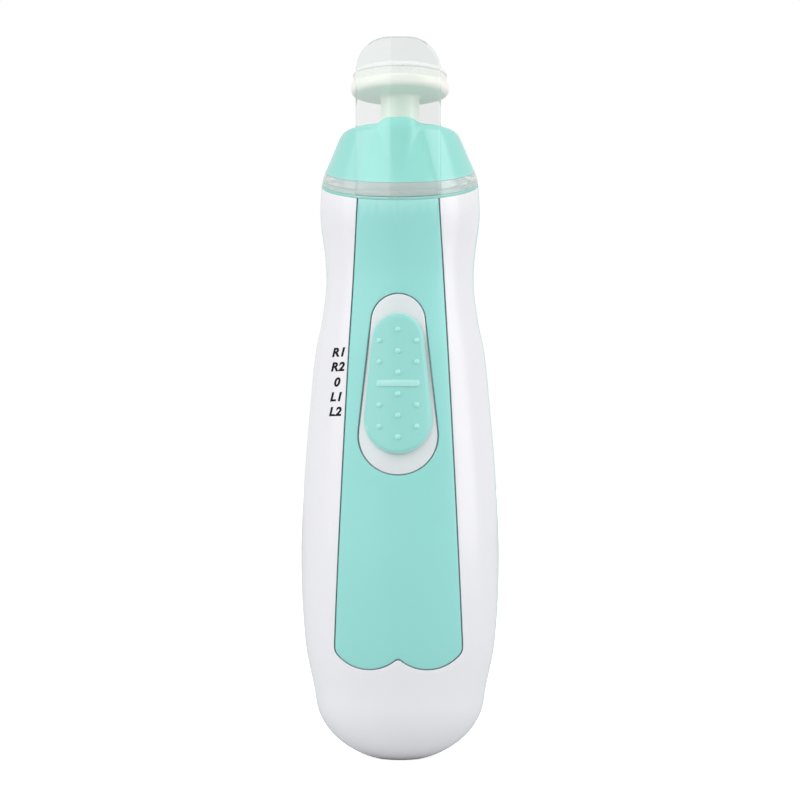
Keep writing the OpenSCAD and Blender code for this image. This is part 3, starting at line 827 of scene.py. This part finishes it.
def ring_section(t, low, high, bore, high_r, notch):
    """The ring's section at one angle: two slanted faces between the bore and the outside."""
    low_z, low_tilt = low
    neck_r = half_w(low_z + RING_LOW_R * math.sin(t) * math.tan(low_tilt)) - HAIR
    points = []
    for outer, upper in ((True, False), (True, True), (False, True), (False, False)):
        r = bore
        if outer:
            r = high_r if upper and high_r else neck_r
            if notch and math.sin(t) < 0 and abs(r * math.cos(t)) < notch:
                r = min(r, GUARD_IN_R - HAIR)
        z_axis, tilt = high if upper else low
        z = z_axis + r * math.sin(t) * math.tan(tilt)
        inward = -RING_SOFT if outer else RING_SOFT
        up = -RING_SOFT if upper else RING_SOFT
        corner = [
            (r + inward * (1 - math.cos(a)), z + up * (1 - math.sin(a)))
            for a in (0, math.pi / 4, math.pi / 2)
        ]
        points += corner if outer == upper else corner[::-1]
    points[3:3] = groove(points[2], points[3])
    return [(r * math.cos(t), r * math.sin(t), z) for r, z in points]


def slanted_ring(name, low, high, bore, material, high_r=None, notch=None):
    """A ring between two slanted faces, notched at the front for the guard where asked."""
    piece = Piece(name)
    columns = [ring_section(t, low, high, bore, high_r, notch) for t in ANGLES]
    piece.strip(columns + columns[:1])
    return piece.build("handle", material, sharp=50)


COLLAR_BORE_R = 15.6


def neck_collar(material):
    lower = (NECK_Z, RING_TILT)
    upper = (RING_Z, RING_TILT)
    collar = slanted_ring("neck_collar", lower, upper, COLLAR_BORE_R, material)


def light_ring(material):
    lower = (RING_Z, RING_TILT)
    upper = (RING_Z + RING_H, NOSE_TILT)
    ring = slanted_ring("light_ring_clear", lower, upper, RING_BORE_R, material,
                        high_r=NOSE_FOOT_R + 2 * HAIR, notch=RING_NOTCH_X)
    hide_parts("light_ring")


LIP_IN_R = 18.35
LIP_THIN = 0.1
GUARD_CORNER = 6.9
GUARD_SOFT = 0.3
GUARD_TIP = 0.07
GUARD_STEPS = 24
GUARD_FLAT_STEPS = 12
GUARD_TURNS = range(0, 78, 6)

# The guard's foot: how far from the middle, and how far under the ring's middle.
FOOT_XS = (0, 1.4, GUARD_HIGH[0])
FOOT_DROPS = (7.2, 6.5, 5.8)


def guard_foot(x):
    return float(np.interp(abs(x), FOOT_XS, [RING_Z - drop for drop in FOOT_DROPS]))


def guard_top(x):
    over = abs(x) - (GUARD_HIGH[0] - GUARD_CORNER)
    top = GUARD_HIGH[2] - GUARD_CORNER
    return top + math.sqrt(max(GUARD_CORNER**2 - max(over, 0) ** 2, 0.0))


def in_front(x, r, z):
    """The point at x on the front of a circle round the axis."""
    return (x, -math.sqrt(r**2 - x * x), z)


def guard_column(x, thin):
    """The guard's section at one x, made thinner on both faces by thin."""
    foot, top = guard_foot(x), guard_top(x)
    high = top - GUARD_SOFT
    lip_z, inner_z = [
        RING_Z + in_front(x, r, 0)[1] * math.tan(RING_TILT) for r in (LIP_IN_R, GUARD_IN_R)
    ]
    shares = [k / GUARD_STEPS for k in range(GUARD_STEPS + 1)]
    outside = [in_front(x, GUARD_R - thin, foot + (high - foot) * s) for s in shares]
    tip = [
        in_front(x, GUARD_R - thin - GUARD_SOFT, top - GUARD_TIP),
        in_front(x, (GUARD_R + GUARD_IN_R) / 2, top),
        in_front(x, GUARD_IN_R + GUARD_SOFT, top - GUARD_TIP),
    ]
    inner = [in_front(x, GUARD_IN_R + thin, high + (inner_z - high) * s) for s in shares]
    lip = [in_front(x, LIP_IN_R - min(thin, LIP_THIN), z) for z in (lip_z, foot)]
    return outside + tip + inner + lip


def clear_guard(material):
    piece = Piece("clear_guard_band")
    wide = GUARD_HIGH[0]
    start = wide - GUARD_CORNER
    half = [start * k / GUARD_FLAT_STEPS for k in range(GUARD_FLAT_STEPS)]
    half += [start + GUARD_CORNER * math.sin(math.radians(a)) for a in GUARD_TURNS]
    places = [(x, 0.0) for x in half] + [(wide - GUARD_TIP, GUARD_TIP), (wide, GUARD_SOFT)]
    places = [(-x, thin) for x, thin in places[:0:-1]] + places
    columns = [guard_column(x, thin) for x, thin in places]
    piece.strip(columns)
    for column in (columns[0], columns[-1]):
        piece.faces.append(tuple(piece.add(column)))
    guard = piece.build("handle", material, sharp=50)
    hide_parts("clear_guard")


NOSE_SHOULDER = (14.1, 140.2)
NOSE_Z = 142.4
NOSE_CORNER = (NOSE_SHOULDER, (13.24, NOSE_Z), (11.9, NOSE_Z))
NOSE_TOP_RS = (10.8, 9.6, 8.4, 7.0, 5.3)
NOSE_UNDER_Z = 140.4
NOSE_STEPS = 14
CORNER_TURNS = 7
WELL_R = 5.0
WELL_Z = 141.0
BUSH_R = 3.0
BUSH_LOW_Z = 134.0
BUSH_WALL_R = 5.4
SKIRT_R = 13.0
SKIRT_IN_R = 11.5

# The pleat: where it starts, its half-widths there and at the rim, and how far it stands out.
FOLD_LOW_Z = 131.5
FOLD_LIFT_Z = 138.5
FOLD_HALF_W = (2.0, 4.8)
FOLD_RS = (8.5, 11.5)
FOLD_OUT = 1.6
FOLD_LIFT = 0.9
FOLD_FLANK = 0.45
LIFT_FLANK = 0.6


def fold(point):
    """Pushes the front of the nose out into one shallow pleat that widens and rises at the rim."""
    x, y, z = point
    if y > 0:
        return point
    up = share(z, FOLD_LOW_Z, NOSE_Z)
    narrow, wide = FOLD_HALF_W
    beside = 1 - abs(x) / (narrow + (wide - narrow) * up)
    if beside <= 0:
        return point
    near_rim = share(math.hypot(x, y), *FOLD_RS)
    flank = share(beside, 0, FOLD_FLANK)
    out = FOLD_OUT * up * near_rim * flank * (2 - flank)
    lift = FOLD_LIFT * ease(share(z, FOLD_LIFT_Z, NOSE_Z)) * near_rim
    return (x, y - out, z + lift * ease(share(beside, 0, LIFT_FLANK)))


def nose_cone(material):
    piece = Piece("nose_cone_skin")
    foot = slanted(NOSE_FOOT_R, RING_Z + RING_H, NOSE_TILT)
    shoulder = level(*NOSE_SHOULDER)
    rows = list(zip(*(line(p, q, NOSE_STEPS) for p, q in zip(foot, shoulder))))
    turns = [k / CORNER_TURNS for k in range(CORNER_TURNS + 1)]
    rows += [level(*curve_point(*NOSE_CORNER, t)) for t in turns]
    rows += [level(r, NOSE_Z) for r in NOSE_TOP_RS]
    rows = [[fold(p) for p in row] for row in rows]
    inner = (
        (WELL_R + 0.1, NOSE_Z - 0.1), (WELL_R, NOSE_Z - 0.3), (WELL_R, WELL_Z),
        (BUSH_R, WELL_Z), (BUSH_R, BUSH_LOW_Z), (BUSH_WALL_R, BUSH_LOW_Z),
        (BUSH_WALL_R, NOSE_UNDER_Z), (SKIRT_IN_R, NOSE_UNDER_Z),
        (SKIRT_IN_R, NOSE_LOW_Z), (SKIRT_R, NOSE_LOW_Z),
    )
    rows += [level(r, z) for r, z in inner]
    rows += [slanted(SKIRT_R, RING_Z + RING_H, NOSE_TILT), foot]
    piece.strip(rows)
    nose = piece.build("handle", material, sharp=40)
    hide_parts("nose_cone")


# ---- Slide button

BUTTON_EGG = (15.3, 5.7, 7.5)
BUTTON_GRID = (7.2, 15.0, 0.6)
BUTTON_SOFT = 0.9
BUTTON_CLEAR = 0.2
DOT_R = 0.62
DOT_RISE = 0.45
DOT_X = 4.1
DOT_STEPS = 20
BAR = (-4.7, -0.75, 4.7, 0.75, 0.5)

# The bar's side, foot to top: how far in, and how high.
BAR_SIDE = ((0.0, 0.0), (0.0, 0.12), (0.06, 0.24), (0.22, 0.3))


def on_crown(outline, deeper=0.0):
    """Points of an outline on the button's curved top."""
    points = []
    for x, along in outline:
        depth = BUTTON_CROWN_R - BUTTON_RISE - math.sqrt(BUTTON_CROWN_R**2 - x * x)
        points.append(track_point(x, depth + deeper, along))
    return points


def under_button(outline):
    """Points of an outline on the button's underside, just clear of the track."""
    depth = TRACK_DEPTH - BUTTON_CLEAR
    return [track_point(x, track_floor(x, depth), along) for x, along in outline]


def slide_button(material, highlight_material):
    piece = Piece("slide_button_top")
    rows = []
    for turn in (math.radians(t) for t in range(0, 91, 15)):
        outline = egg(*BUTTON_EGG, -BUTTON_SOFT * (1 - math.sin(turn)))
        rows.append(on_crown(outline, BUTTON_SOFT * (1 - math.cos(turn))))
    floor_outline = egg(*BUTTON_EGG, 0.0)
    rows.append(under_button(floor_outline))

    # The side, with a painted highlight (the lighter mint) on the middle of its rounded edge
    piece.strip(rows[:4])
    piece.coat(1)
    piece.strip(rows[3:6])
    piece.coat(0)
    piece.strip(rows[5:])

    # The grip: fourteen dots and the bar, all in the lighter mint as a painted highlight
    middles = [(0.0, (k + 0.5) * DOT_PITCH) for k in range(-3, 3)]
    middles += [(x, k * DOT_PITCH) for k in (-2, -1, 1, 2) for x in (-DOT_X, DOT_X)]
    holes = []
    piece.coat(1)
    for x, along in middles:
        dome = [
            on_crown(circle(x, along, DOT_R * math.cos(t), DOT_STEPS), -DOT_RISE * math.sin(t))
            for t in (math.radians(turn) for turn in range(0, 67, 22))
        ]
        piece.strip(dome)
        piece.fan(dome[-1], on_crown([(x, along)], -DOT_RISE)[0])
        holes.append(circle(x, along, DOT_R, DOT_STEPS))
    holes.append(raise_box(piece, BAR, BAR_SIDE, lambda row, rise: on_crown(row, -rise)))
    piece.coat(0)

    # The top round the grip, and the underside
    grid = flat_grid(*BUTTON_GRID)
    top = egg(*BUTTON_EGG, -BUTTON_SOFT)
    piece.patch([on_crown(top)] + [on_crown(hole) for hole in holes], [top] + holes,
                on_crown(grid), grid, BUTTON_GRID[2])
    piece.patch([rows[-1]], [floor_outline], under_button(grid), grid, BUTTON_GRID[2])
    button = piece.build("slider", material, sharp=40, second=highlight_material)
    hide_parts("slide_button")


# ---- Abrasive disc

CARRIER_THICK = 2.8
CARRIER_RIM = 0.6
SLEEVE_R = 4.4
SLEEVE_ROUND = 0.4
SLEEVE_FILLET = 0.9
SHAFT_R = 1.55
SHAFT_DEPTH = 8.2
MIDDLE_R = 6.0
FLANGE_RS = (6.5, 8.2)
CUSHION_IN = 0.12
CUSHION_FLARE = 0.25
CUSHION_BULGE = 0.1
CUSHION_STEPS = 6
DISC_EDGE = 0.1
DISC_RS = (8, 6, 4, 2, 0)


def lathe(name, profile, body, material):
    """A solid turned round the axis, from a profile that starts and ends on the axis."""
    piece = Piece(name)
    rows = [level(r, z) for r, z in profile[1:-1]]
    piece.strip(rows)
    piece.fan(rows[0], (0, 0, profile[0][1]))
    piece.fan(rows[-1], (0, 0, profile[-1][1]))
    return piece.build(body, material, sharp=40)


def disc_pieces(cream, soft_foam, grit):
    low, top = CARRIER_LOW[2], CARRIER_HIGH[2]
    flange_r = CARRIER_HIGH[0]
    flange_low = top - CARRIER_THICK
    half = CARRIER_THICK / 2
    profile = [(0, low + SHAFT_DEPTH), (SHAFT_R, low + SHAFT_DEPTH), (SHAFT_R, low)]
    profile += arc(SLEEVE_R - SLEEVE_ROUND, low + SLEEVE_ROUND, SLEEVE_ROUND, -90, 0, 4)
    profile += arc(SLEEVE_R + SLEEVE_FILLET, flange_low - SLEEVE_FILLET, SLEEVE_FILLET, 180, 90, 5)
    profile += [(r, flange_low) for r in FLANGE_RS]
    profile += arc(flange_r - half, flange_low + half, half, -90, 0, 8)
    profile += arc(flange_r - CARRIER_RIM, top - CARRIER_RIM, CARRIER_RIM, 0, 90, 5)
    profile += [(MIDDLE_R, top), (0, top)]
    carrier = lathe("disc_carrier_body", profile, "disc_head", cream)
    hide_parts("disc_carrier")

    r, low, top = CUSHION_HIGH[0] - CUSHION_IN, CUSHION_LOW[2], CUSHION_HIGH[2]
    profile = [(0, low), (MIDDLE_R, low)]
    for up in (k / CUSHION_STEPS for k in range(CUSHION_STEPS + 1)):
        bulge = CUSHION_FLARE * (1 - up) ** 3 + CUSHION_BULGE * math.sin(math.pi * up)
        profile.append((r + bulge, low + (top - low) * up))
    profile += [(MIDDLE_R, top), (0, top)]
    cushion = lathe("foam_cushion_pad", profile, "disc_head", soft_foam)
    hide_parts("foam_cushion")

    r, low, top = DISC_HIGH[0], DISC_LOW[2], DISC_HIGH[2]
    soft = top - low - DISC_EDGE
    profile = [(0, low), (MIDDLE_R, low), (r, low)] + arc(r - soft, top - soft, soft, 0, 90, 8)
    profile += [(r_in, top) for r_in in DISC_RS]
    disc = lathe("abrasive_disc_sheet", profile, "disc_head", grit)
    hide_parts("abrasive_disc")


# ---- Position marks

MARKS = (
    ("R1", -13.25, 91.5), ("R2", -13.4, 88.3), ("0", -13.5, 84.9),
    ("L1", -13.8, 81.65), ("L2", -13.95, 78.4),
)
MARK_H = 1.87
CAPITAL_SHARE = 0.7
SAME_INK = 1e-4
INK_T = 0.03


def mark(text, x, z, material):
    """A printed mark: a thin layer of ink on the handle's surface."""
    curve = bpy.data.curves.new("mark_" + text, "FONT")
    curve.body = text
    curve.align_x = "CENTER"
    curve.align_y = "CENTER"
    curve.size = MARK_H / CAPITAL_SHARE
    curve.shear = 0.24
    curve.offset = 0.11
    curve.space_character = 1.1
    curve.extrude = INK_T
    curve.resolution_u = 4
    drawn = add_object("mark_" + text, curve)
    bpy.context.view_layer.update()
    mesh = bpy.data.meshes.new_from_object(drawn)
    bpy.data.objects.remove(drawn)
    work = bmesh.new()
    work.from_mesh(mesh)
    bmesh.ops.remove_doubles(work, verts=work.verts, dist=SAME_INK)
    work.to_mesh(mesh)
    work.free()
    xs, ys = [[v.co[axis] for v in mesh.vertices] for axis in (0, 1)]
    middle_x, middle_y = (min(xs) + max(xs)) / 2, (min(ys) + max(ys)) / 2
    for vertex in mesh.vertices:
        place = on_skin(x + vertex.co.x - middle_x, z + vertex.co.y - middle_y, -1)
        vertex.co = Vector(skin(place, -vertex.co.z)) * MM
    mesh.materials.clear()
    mesh.materials.append(material)
    piece = add_object("mark_" + text, mesh)
    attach(piece, "handle")


# ---- Materials

# The world's strength for dull surfaces, and how far from there to 1 it is for mirrored rays.
AMBIENT = 0.55
MIRRORED = 0.66

# A ray with more bounces than this is let out of clear plastic, dimmed to this share. Each dull
# surface on its way takes so many bounces off the count that the ray is never let out.
TRAPPED_DEPTH = 3.5
TRAPPED_LIGHT = 0.5
DULL_BOUNCE = -9.0


def linear(colour):
    """A colour given as sRGB 0 to 255, as linear red, green, blue and alpha."""
    parts = [c / 255 for c in colour]
    parts = [c / 12.92 if c <= 0.04045 else ((c + 0.055) / 1.055) ** 2.4 for c in parts]
    return (*parts, 1.0)


def feed(socket, value):
    """Links the socket to another one, or sets it to a constant."""
    if isinstance(value, bpy.types.NodeSocket):
        socket.id_data.links.new(value, socket)
    else:
        socket.default_value = value


def add_node(tree, kind, inputs=None, **settings):
    """A shader node with its settings, and its inputs fed. Gives its outputs."""
    node = tree.nodes.new("ShaderNode" + kind)
    for name, value in settings.items():
        setattr(node, name, value)
    for name, value in (inputs or {}).items():
        feed(node.inputs[name], value)
    return node.outputs


def sum_node(tree, operation, *values):
    """One number worked out from others, which are sockets or constants."""
    return add_node(tree, "Math", dict(enumerate(values)), operation=operation)["Value"]


def seen_share(tree, kinds):
    """1 for the camera's own rays, and MIRRORED for rays of these kinds off no dull surface."""
    path = add_node(tree, "LightPath")
    direct = sum_node(tree, "LESS_THAN", path["Diffuse Depth"], 0.5)
    of_kind = path[kinds[0]]
    for kind in kinds[1:]:
        of_kind = sum_node(tree, "MAXIMUM", of_kind, path[kind])
    through = sum_node(tree, "MULTIPLY", of_kind, direct)
    return sum_node(tree, "MULTIPLY_ADD", through, MIRRORED, path["Is Camera Ray"])


class Surface:
    """A node material: a Principled shader with its texture chain."""

    def __init__(self, name, colour, rough, **constants):
        self.material = bpy.data.materials.new(name)
        self.material.use_nodes = True
        self.tree = self.material.node_tree
        self.shader = self.tree.nodes["Principled BSDF"]
        self.tint = linear(colour)
        self.rough = rough
        self.feed("Base Color", self.tint)
        self.feed("Roughness", rough)
        for socket, value in constants.items():
            self.feed(socket.replace("_", " "), value)
        self.place = self.add("TexCoord")["Object"]

    def feed(self, socket, value):
        feed(self.shader.inputs[socket], value)

    def add(self, kind, inputs=None, **settings):
        return add_node(self.tree, kind, inputs, **settings)

    def noise(self, scale, detail=4.0, stretch=(1, 1, 1)):
        place = self.add("Mapping", {"Vector": self.place, "Scale": stretch})["Vector"]
        return self.add("TexNoise", {"Vector": place, "Scale": scale, "Detail": detail})["Fac"]

    def cells(self, scale, feature="F1"):
        inputs = {"Vector": self.place, "Scale": scale}
        return self.add("TexVoronoi", inputs, feature=feature)["Distance"]

    def spread(self, value, low, high, start=0.25, end=0.75):
        """The value between start and end, spread from low to high."""
        return self.add("MapRange", {
            "Value": value, "From Min": start, "From Max": end, "To Min": low, "To Max": high,
        })["Result"]

    def mix_in(self, value, colour, most, start=0.25, end=0.75):
        """Blends a colour in, from not at all to most, as the value goes from start to end."""
        amount = self.spread(value, 0.0, most, start, end)
        inputs = {"Factor": amount, "A": self.tint, "B": linear(colour)}
        self.tint = self.add("Mix", inputs, data_type="RGBA")["Result"]
        self.feed("Base Color", self.tint)

    def vary_rough(self, value, swing):
        low, high = max(self.rough - swing, 0.0), self.rough + swing
        self.feed("Roughness", self.spread(value, low, high))

    def bump(self, value, depth):
        """Raises the surface by a depth in millimetres."""
        self.feed("Normal", self.add("Bump", {"Distance": depth * MM, "Height": value})["Normal"])

    def edge_wear_and_highlight(self, colour, amount):
        """Raised edges painted lighter: a little wear, and a painted highlight along them."""
        self.mix_in(self.add("NewGeometry")["Pointiness"], colour, amount, 0.52, 0.62)


def moulded(name, colour, rough, deep, light, grain=0.004):
    """Moulded plastic: faint flow in the colour, a fine skin, and raised edges painted lighter,
    partly rubbed and partly a painted highlight.
    """
    surface = Surface(name, colour, rough)
    surface.mix_in(surface.noise(55, 3.0, (1, 1, 0.4)), deep, 0.5)
    surface.edge_wear_and_highlight(light, 0.35)
    surface.vary_rough(surface.noise(60, 3.0), 0.02)
    surface.bump(surface.noise(2600, 2.0), grain)
    return surface.material


def clear_moulded(name, rough, through, bend):
    """Clear plastic with faint flow marks, which casts no shadow and lets trapped light out."""
    surface = Surface(name, (250, 252, 251), rough, Transmission_Weight=through, IOR=bend)
    surface.vary_rough(surface.noise(160, 4.0), 0.6 * rough)
    surface.bump(surface.noise(240, 2.0, (1, 1, 0.3)), 0.004)
    surface.mix_in(surface.noise(90, 2.0), (240, 248, 246), 0.5)
    tree = surface.tree
    path = add_node(tree, "LightPath")
    depth = sum_node(tree, "MULTIPLY_ADD", path["Diffuse Depth"], DULL_BOUNCE, path["Ray Depth"])
    trapped = sum_node(tree, "GREATER_THAN", depth, TRAPPED_DEPTH)
    let_out = add_node(tree, "BsdfTransparent", {
        "Color": surface.spread(trapped, 1.0, TRAPPED_LIGHT, 0, 1),
    })
    mixed = add_node(tree, "MixShader", {
        0: sum_node(tree, "MAXIMUM", path["Is Shadow Ray"], trapped),
        1: surface.shader.outputs["BSDF"],
        2: let_out["BSDF"],
    })
    feed(tree.nodes["Material Output"].inputs["Surface"], mixed["Shader"])
    return surface.material


def foam(name):
    surface = Surface(name, (245, 245, 242), 0.85, Sheen_Weight=0.2)
    pores = surface.cells(2200)
    surface.mix_in(pores, (222, 224, 220), 0.5, 0.1, 0.6)
    surface.vary_rough(surface.noise(400), 0.08)
    surface.bump(pores, 0.06)
    return surface.material


def abrasive(name):
    surface = Surface(name, (244, 244, 243), 0.7)
    grit = surface.noise(5200, 6.0)
    surface.mix_in(grit, (224, 224, 226), 0.6, 0.45, 0.7)
    surface.vary_rough(surface.noise(900), 0.12)
    surface.bump(grit, 0.05)
    return surface.material


def metal(name, colour, rough, dark, scale=300, stretch=(1, 1, 1)):
    surface = Surface(name, colour, rough, Metallic=1.0)
    surface.mix_in(surface.noise(120, 5.0), dark, 0.45)
    # Raised edges painted lighter: a little wear and a painted highlight
    surface.edge_wear_and_highlight((240, 240, 240), 0.3)
    scratches = surface.noise(scale, 6.0, stretch)
    surface.vary_rough(scratches, 0.08)
    surface.bump(scratches, 0.006)
    return surface.material


def board(name, colour, copper):
    surface = Surface(name, colour, 0.38)
    tracks = surface.cells(260, "DISTANCE_TO_EDGE")
    surface.mix_in(tracks, copper, 0.6, 0.05, 0.02)
    surface.vary_rough(surface.noise(500), 0.08)
    surface.bump(tracks, 0.02)
    return surface.material


def rubber(name, colour, light):
    surface = Surface(name, colour, 0.55)
    surface.mix_in(surface.noise(260), light, 0.4)
    surface.vary_rough(surface.noise(700), 0.08)
    surface.bump(surface.noise(1800, 3.0), 0.01)
    return surface.material


BAND_Z = (0.0605, 0.0610)


def cell_sleeve(name):
    """A shrink sleeve with a pale band near one end."""
    surface = Surface(name, (66, 143, 110), 0.3)
    height = surface.add("SeparateXYZ", {"Vector": surface.place})["Z"]
    surface.mix_in(height, (226, 228, 226), 1.0, *BAND_Z)
    surface.mix_in(surface.noise(180), (40, 100, 78), 0.3)
    surface.vary_rough(surface.noise(240), 0.08)
    surface.bump(surface.noise(150, 4.0), 0.03)
    return surface.material


def ink(name):
    surface = Surface(name, (8, 8, 9), 0.6, Specular_IOR_Level=0.15)
    surface.mix_in(surface.noise(2500), (20, 20, 22), 0.5)
    surface.vary_rough(surface.noise(1200), 0.1)
    surface.bump(surface.noise(3000), 0.008)
    return surface.material


# Each plastic: its name, its colour, how rough, its flow marks' colour, and the lighter colour of
# its raised edges (a little wear and a painted highlight).
SHELL_WHITE = moulded(
    "shell_white", (234, 234, 238), 0.24, (230, 230, 234), (249, 249, 250), grain=0.0015
)
# The front shell's white, darker and tinted mint: painted shade for the recessed track
SHADED_TRACK_WHITE = moulded("track_painted_shade", (221, 227, 229), 0.3, (216, 222, 225), (236, 240, 241))
SHELL_MINT = moulded("shell_mint", (148, 217, 210), 0.34, (141, 211, 204), (196, 238, 231))
PANEL_MINT = moulded(
    "panel_mint", (149, 218, 212), 0.36, (143, 213, 207), (200, 240, 234), grain=0.005
)
NOSE_MINT = moulded("nose_mint", (150, 221, 212), 0.2, (143, 213, 204), (198, 241, 234))
BUTTON_MINT = moulded(
    "button_mint", (150, 217, 210), 0.4, (144, 211, 204), (196, 238, 231), grain=0.006
)
# A lighter copy of the button's mint: a painted highlight on its dots, bar and rounded edge
BUTTON_HIGHLIGHT_MINT = moulded("button_painted_highlight", (172, 229, 222), 0.3, (164, 224, 216), (214, 244, 239))
CREAM = moulded("carrier_cream", (247, 246, 238), 0.3, (240, 240, 231), (250, 250, 244))
INNER_WHITE = moulded("inner_white", (226, 226, 222), 0.45, (212, 212, 208), (244, 244, 242))
BLACK = moulded("switch_black", (38, 40, 43), 0.4, (28, 30, 32), (90, 92, 96))
CLEAR = clear_moulded("clear_plastic", 0.03, 1.0, 1.3)
CLEAR_RING = clear_moulded("clear_ring", 0.06, 0.6, 1.49)
STEEL = metal("motor_steel", (176, 180, 186), 0.32, (140, 144, 150), 420, (1, 1, 12))
PLATED = metal("plated_steel", (200, 204, 208), 0.22, (168, 172, 178), 500)
SCREW_STEEL = metal("screw_steel", (168, 170, 174), 0.3, (120, 122, 128), 700)
BRASS = metal("brass", (205, 168, 92), 0.28, (168, 128, 60), 380, (1, 1, 8))

# The CAD nodes that are drawn as they are, by what they are made of.
NODE_FINISHES = (
    (BLACK, ("switch_knob", "motor_end_cap")),
    (INNER_WHITE, ("motor_plate", "battery_tray")),
    (board("board_green", (38, 112, 70), (92, 158, 104)), ("circuit_board",)),
    (board("board_white", (232, 234, 232), (206, 208, 204)), ("led_board",)),
    (moulded("led_lens", (246, 238, 196), 0.2, (240, 226, 160), (255, 252, 236)), ("leds",)),
    (STEEL, ("motor_can",)),
    (PLATED, (
        "switch_housing", "motor_shaft", "drive_spindle", "spring_left", "spring_right",
        "contact_bridge", "contact_positive", "contact_negative",
    )),
    (SCREW_STEEL, ("motor_screws", "shell_screws")),
    (BRASS, ("shaft_coupling", "spindle_bush")),
    (cell_sleeve("cell_sleeve"), ("battery_left",)),
    (cell_sleeve("cell_sleeve_right"), ("battery_right",)),
    (rubber("lead_red", (196, 52, 42), (216, 86, 74)), ("battery_lead_red", "motor_lead_red")),
    (rubber("lead_black", (36, 38, 40), (62, 64, 66)), ("battery_lead_black", "motor_lead_black")),
)


def finish_nodes():
    for material, nodes in NODE_FINISHES:
        for node in nodes:
            for slot in frame["nodes"][node].material_slots:
                slot.material = material


# ---- Camera, floor and lights

CAMERA_FAR = 0.380
CAMERA_Z = 0.0668
CAMERA_TURN = math.radians(1.4)
FLOOR_REACH = 4.0
FLOOR_Z = -0.00002
FLOOR_GLOW = 0.8
LAMP_FAR = 1.0
LAMP_AIM = Vector((0, 0, 0.08))


def camera():
    data = bpy.data.cameras.new("camera")
    data.lens = 74.8
    data.sensor_width = 36.0
    data.shift_y = 0.080
    data.clip_start = 0.01
    data.clip_end = 30.0
    view = add_object("camera", data)
    across, back = math.sin(CAMERA_TURN), math.cos(CAMERA_TURN)
    view.location = (CAMERA_FAR * across, -CAMERA_FAR * back, CAMERA_Z)
    view.rotation_euler = (math.pi / 2, 0, CAMERA_TURN)
    bpy.context.scene.camera = view


def floor():
    """A wide pale floor, just under the foot."""
    mesh = bpy.data.meshes.new("floor")
    corners = ((-1, -1), (1, -1), (1, 1), (-1, 1))
    points = [(x * FLOOR_REACH, y * FLOOR_REACH, FLOOR_Z) for x, y in corners]
    mesh.from_pydata(points, [], [(0, 1, 2, 3)])
    surface = Surface("floor", (225, 225, 225), 0.9, Emission_Color=(1, 1, 1, 1))
    surface.vary_rough(surface.noise(20), 0.05)
    seen = seen_share(surface.tree, ("Is Transmission Ray",))
    surface.feed("Emission Strength", surface.spread(seen, 0.0, FLOOR_GLOW, 0, 1))
    mesh.materials.append(surface.material)
    ground = add_object("floor", mesh)


def softbox(name, turn, rise, wide, high, power):
    """A soft light, turned round from the front (to the left is minus) and raised, in degrees."""
    light = bpy.data.lights.new(name, "AREA")
    light.shape = "RECTANGLE"
    light.size = wide
    light.size_y = high
    light.energy = power
    lamp = add_object(name, light)
    turn, rise = math.radians(turn), math.radians(rise)
    low = math.cos(rise)
    away = Vector((math.sin(turn) * low, -math.cos(turn) * low, math.sin(rise)))
    lamp.location = LAMP_AIM + away * LAMP_FAR
    lamp.rotation_euler = (-away).to_track_quat("-Z", "Y").to_euler()


def studio():
    """A white surround that lights the object less than it shows, and two soft lights."""
    world = bpy.data.worlds.new("studio")
    bpy.context.scene.world = world
    world.use_nodes = True
    tree = world.node_tree
    seen = seen_share(tree, ("Is Transmission Ray", "Is Glossy Ray"))
    strength = add_node(tree, "MapRange", {"Value": seen, "To Min": AMBIENT, "To Max": 1.0})
    background = tree.nodes["Background"].inputs
    feed(background["Strength"], strength["Result"])
    feed(background["Color"], (1.0, 1.0, 1.0, 1.0))
    bpy.context.scene.view_settings.view_transform = "Standard"
    softbox("key_left", -50, 28, 1.5, 1.1, 6.8)
    softbox("fill_right", 76, 26, 0.60, 1.1, 5.0)


# ---- The whole object

front_shell(SHELL_WHITE, SHADED_TRACK_WHITE)
rear_shell(SHELL_MINT)
front_panel(PANEL_MINT)
battery_door(SHELL_MINT)
neck_collar(SHELL_MINT)
light_ring(CLEAR_RING)
clear_guard(CLEAR)
nose_cone(NOSE_MINT)
slide_button(BUTTON_MINT, BUTTON_HIGHLIGHT_MINT)
disc_pieces(CREAM, foam("foam"), abrasive("abrasive"))
MARK_INK = ink("mark_ink")
for text, x, z in MARKS:
    mark(text, x, z, MARK_INK)
finish_nodes()
camera()
floor()
studio()
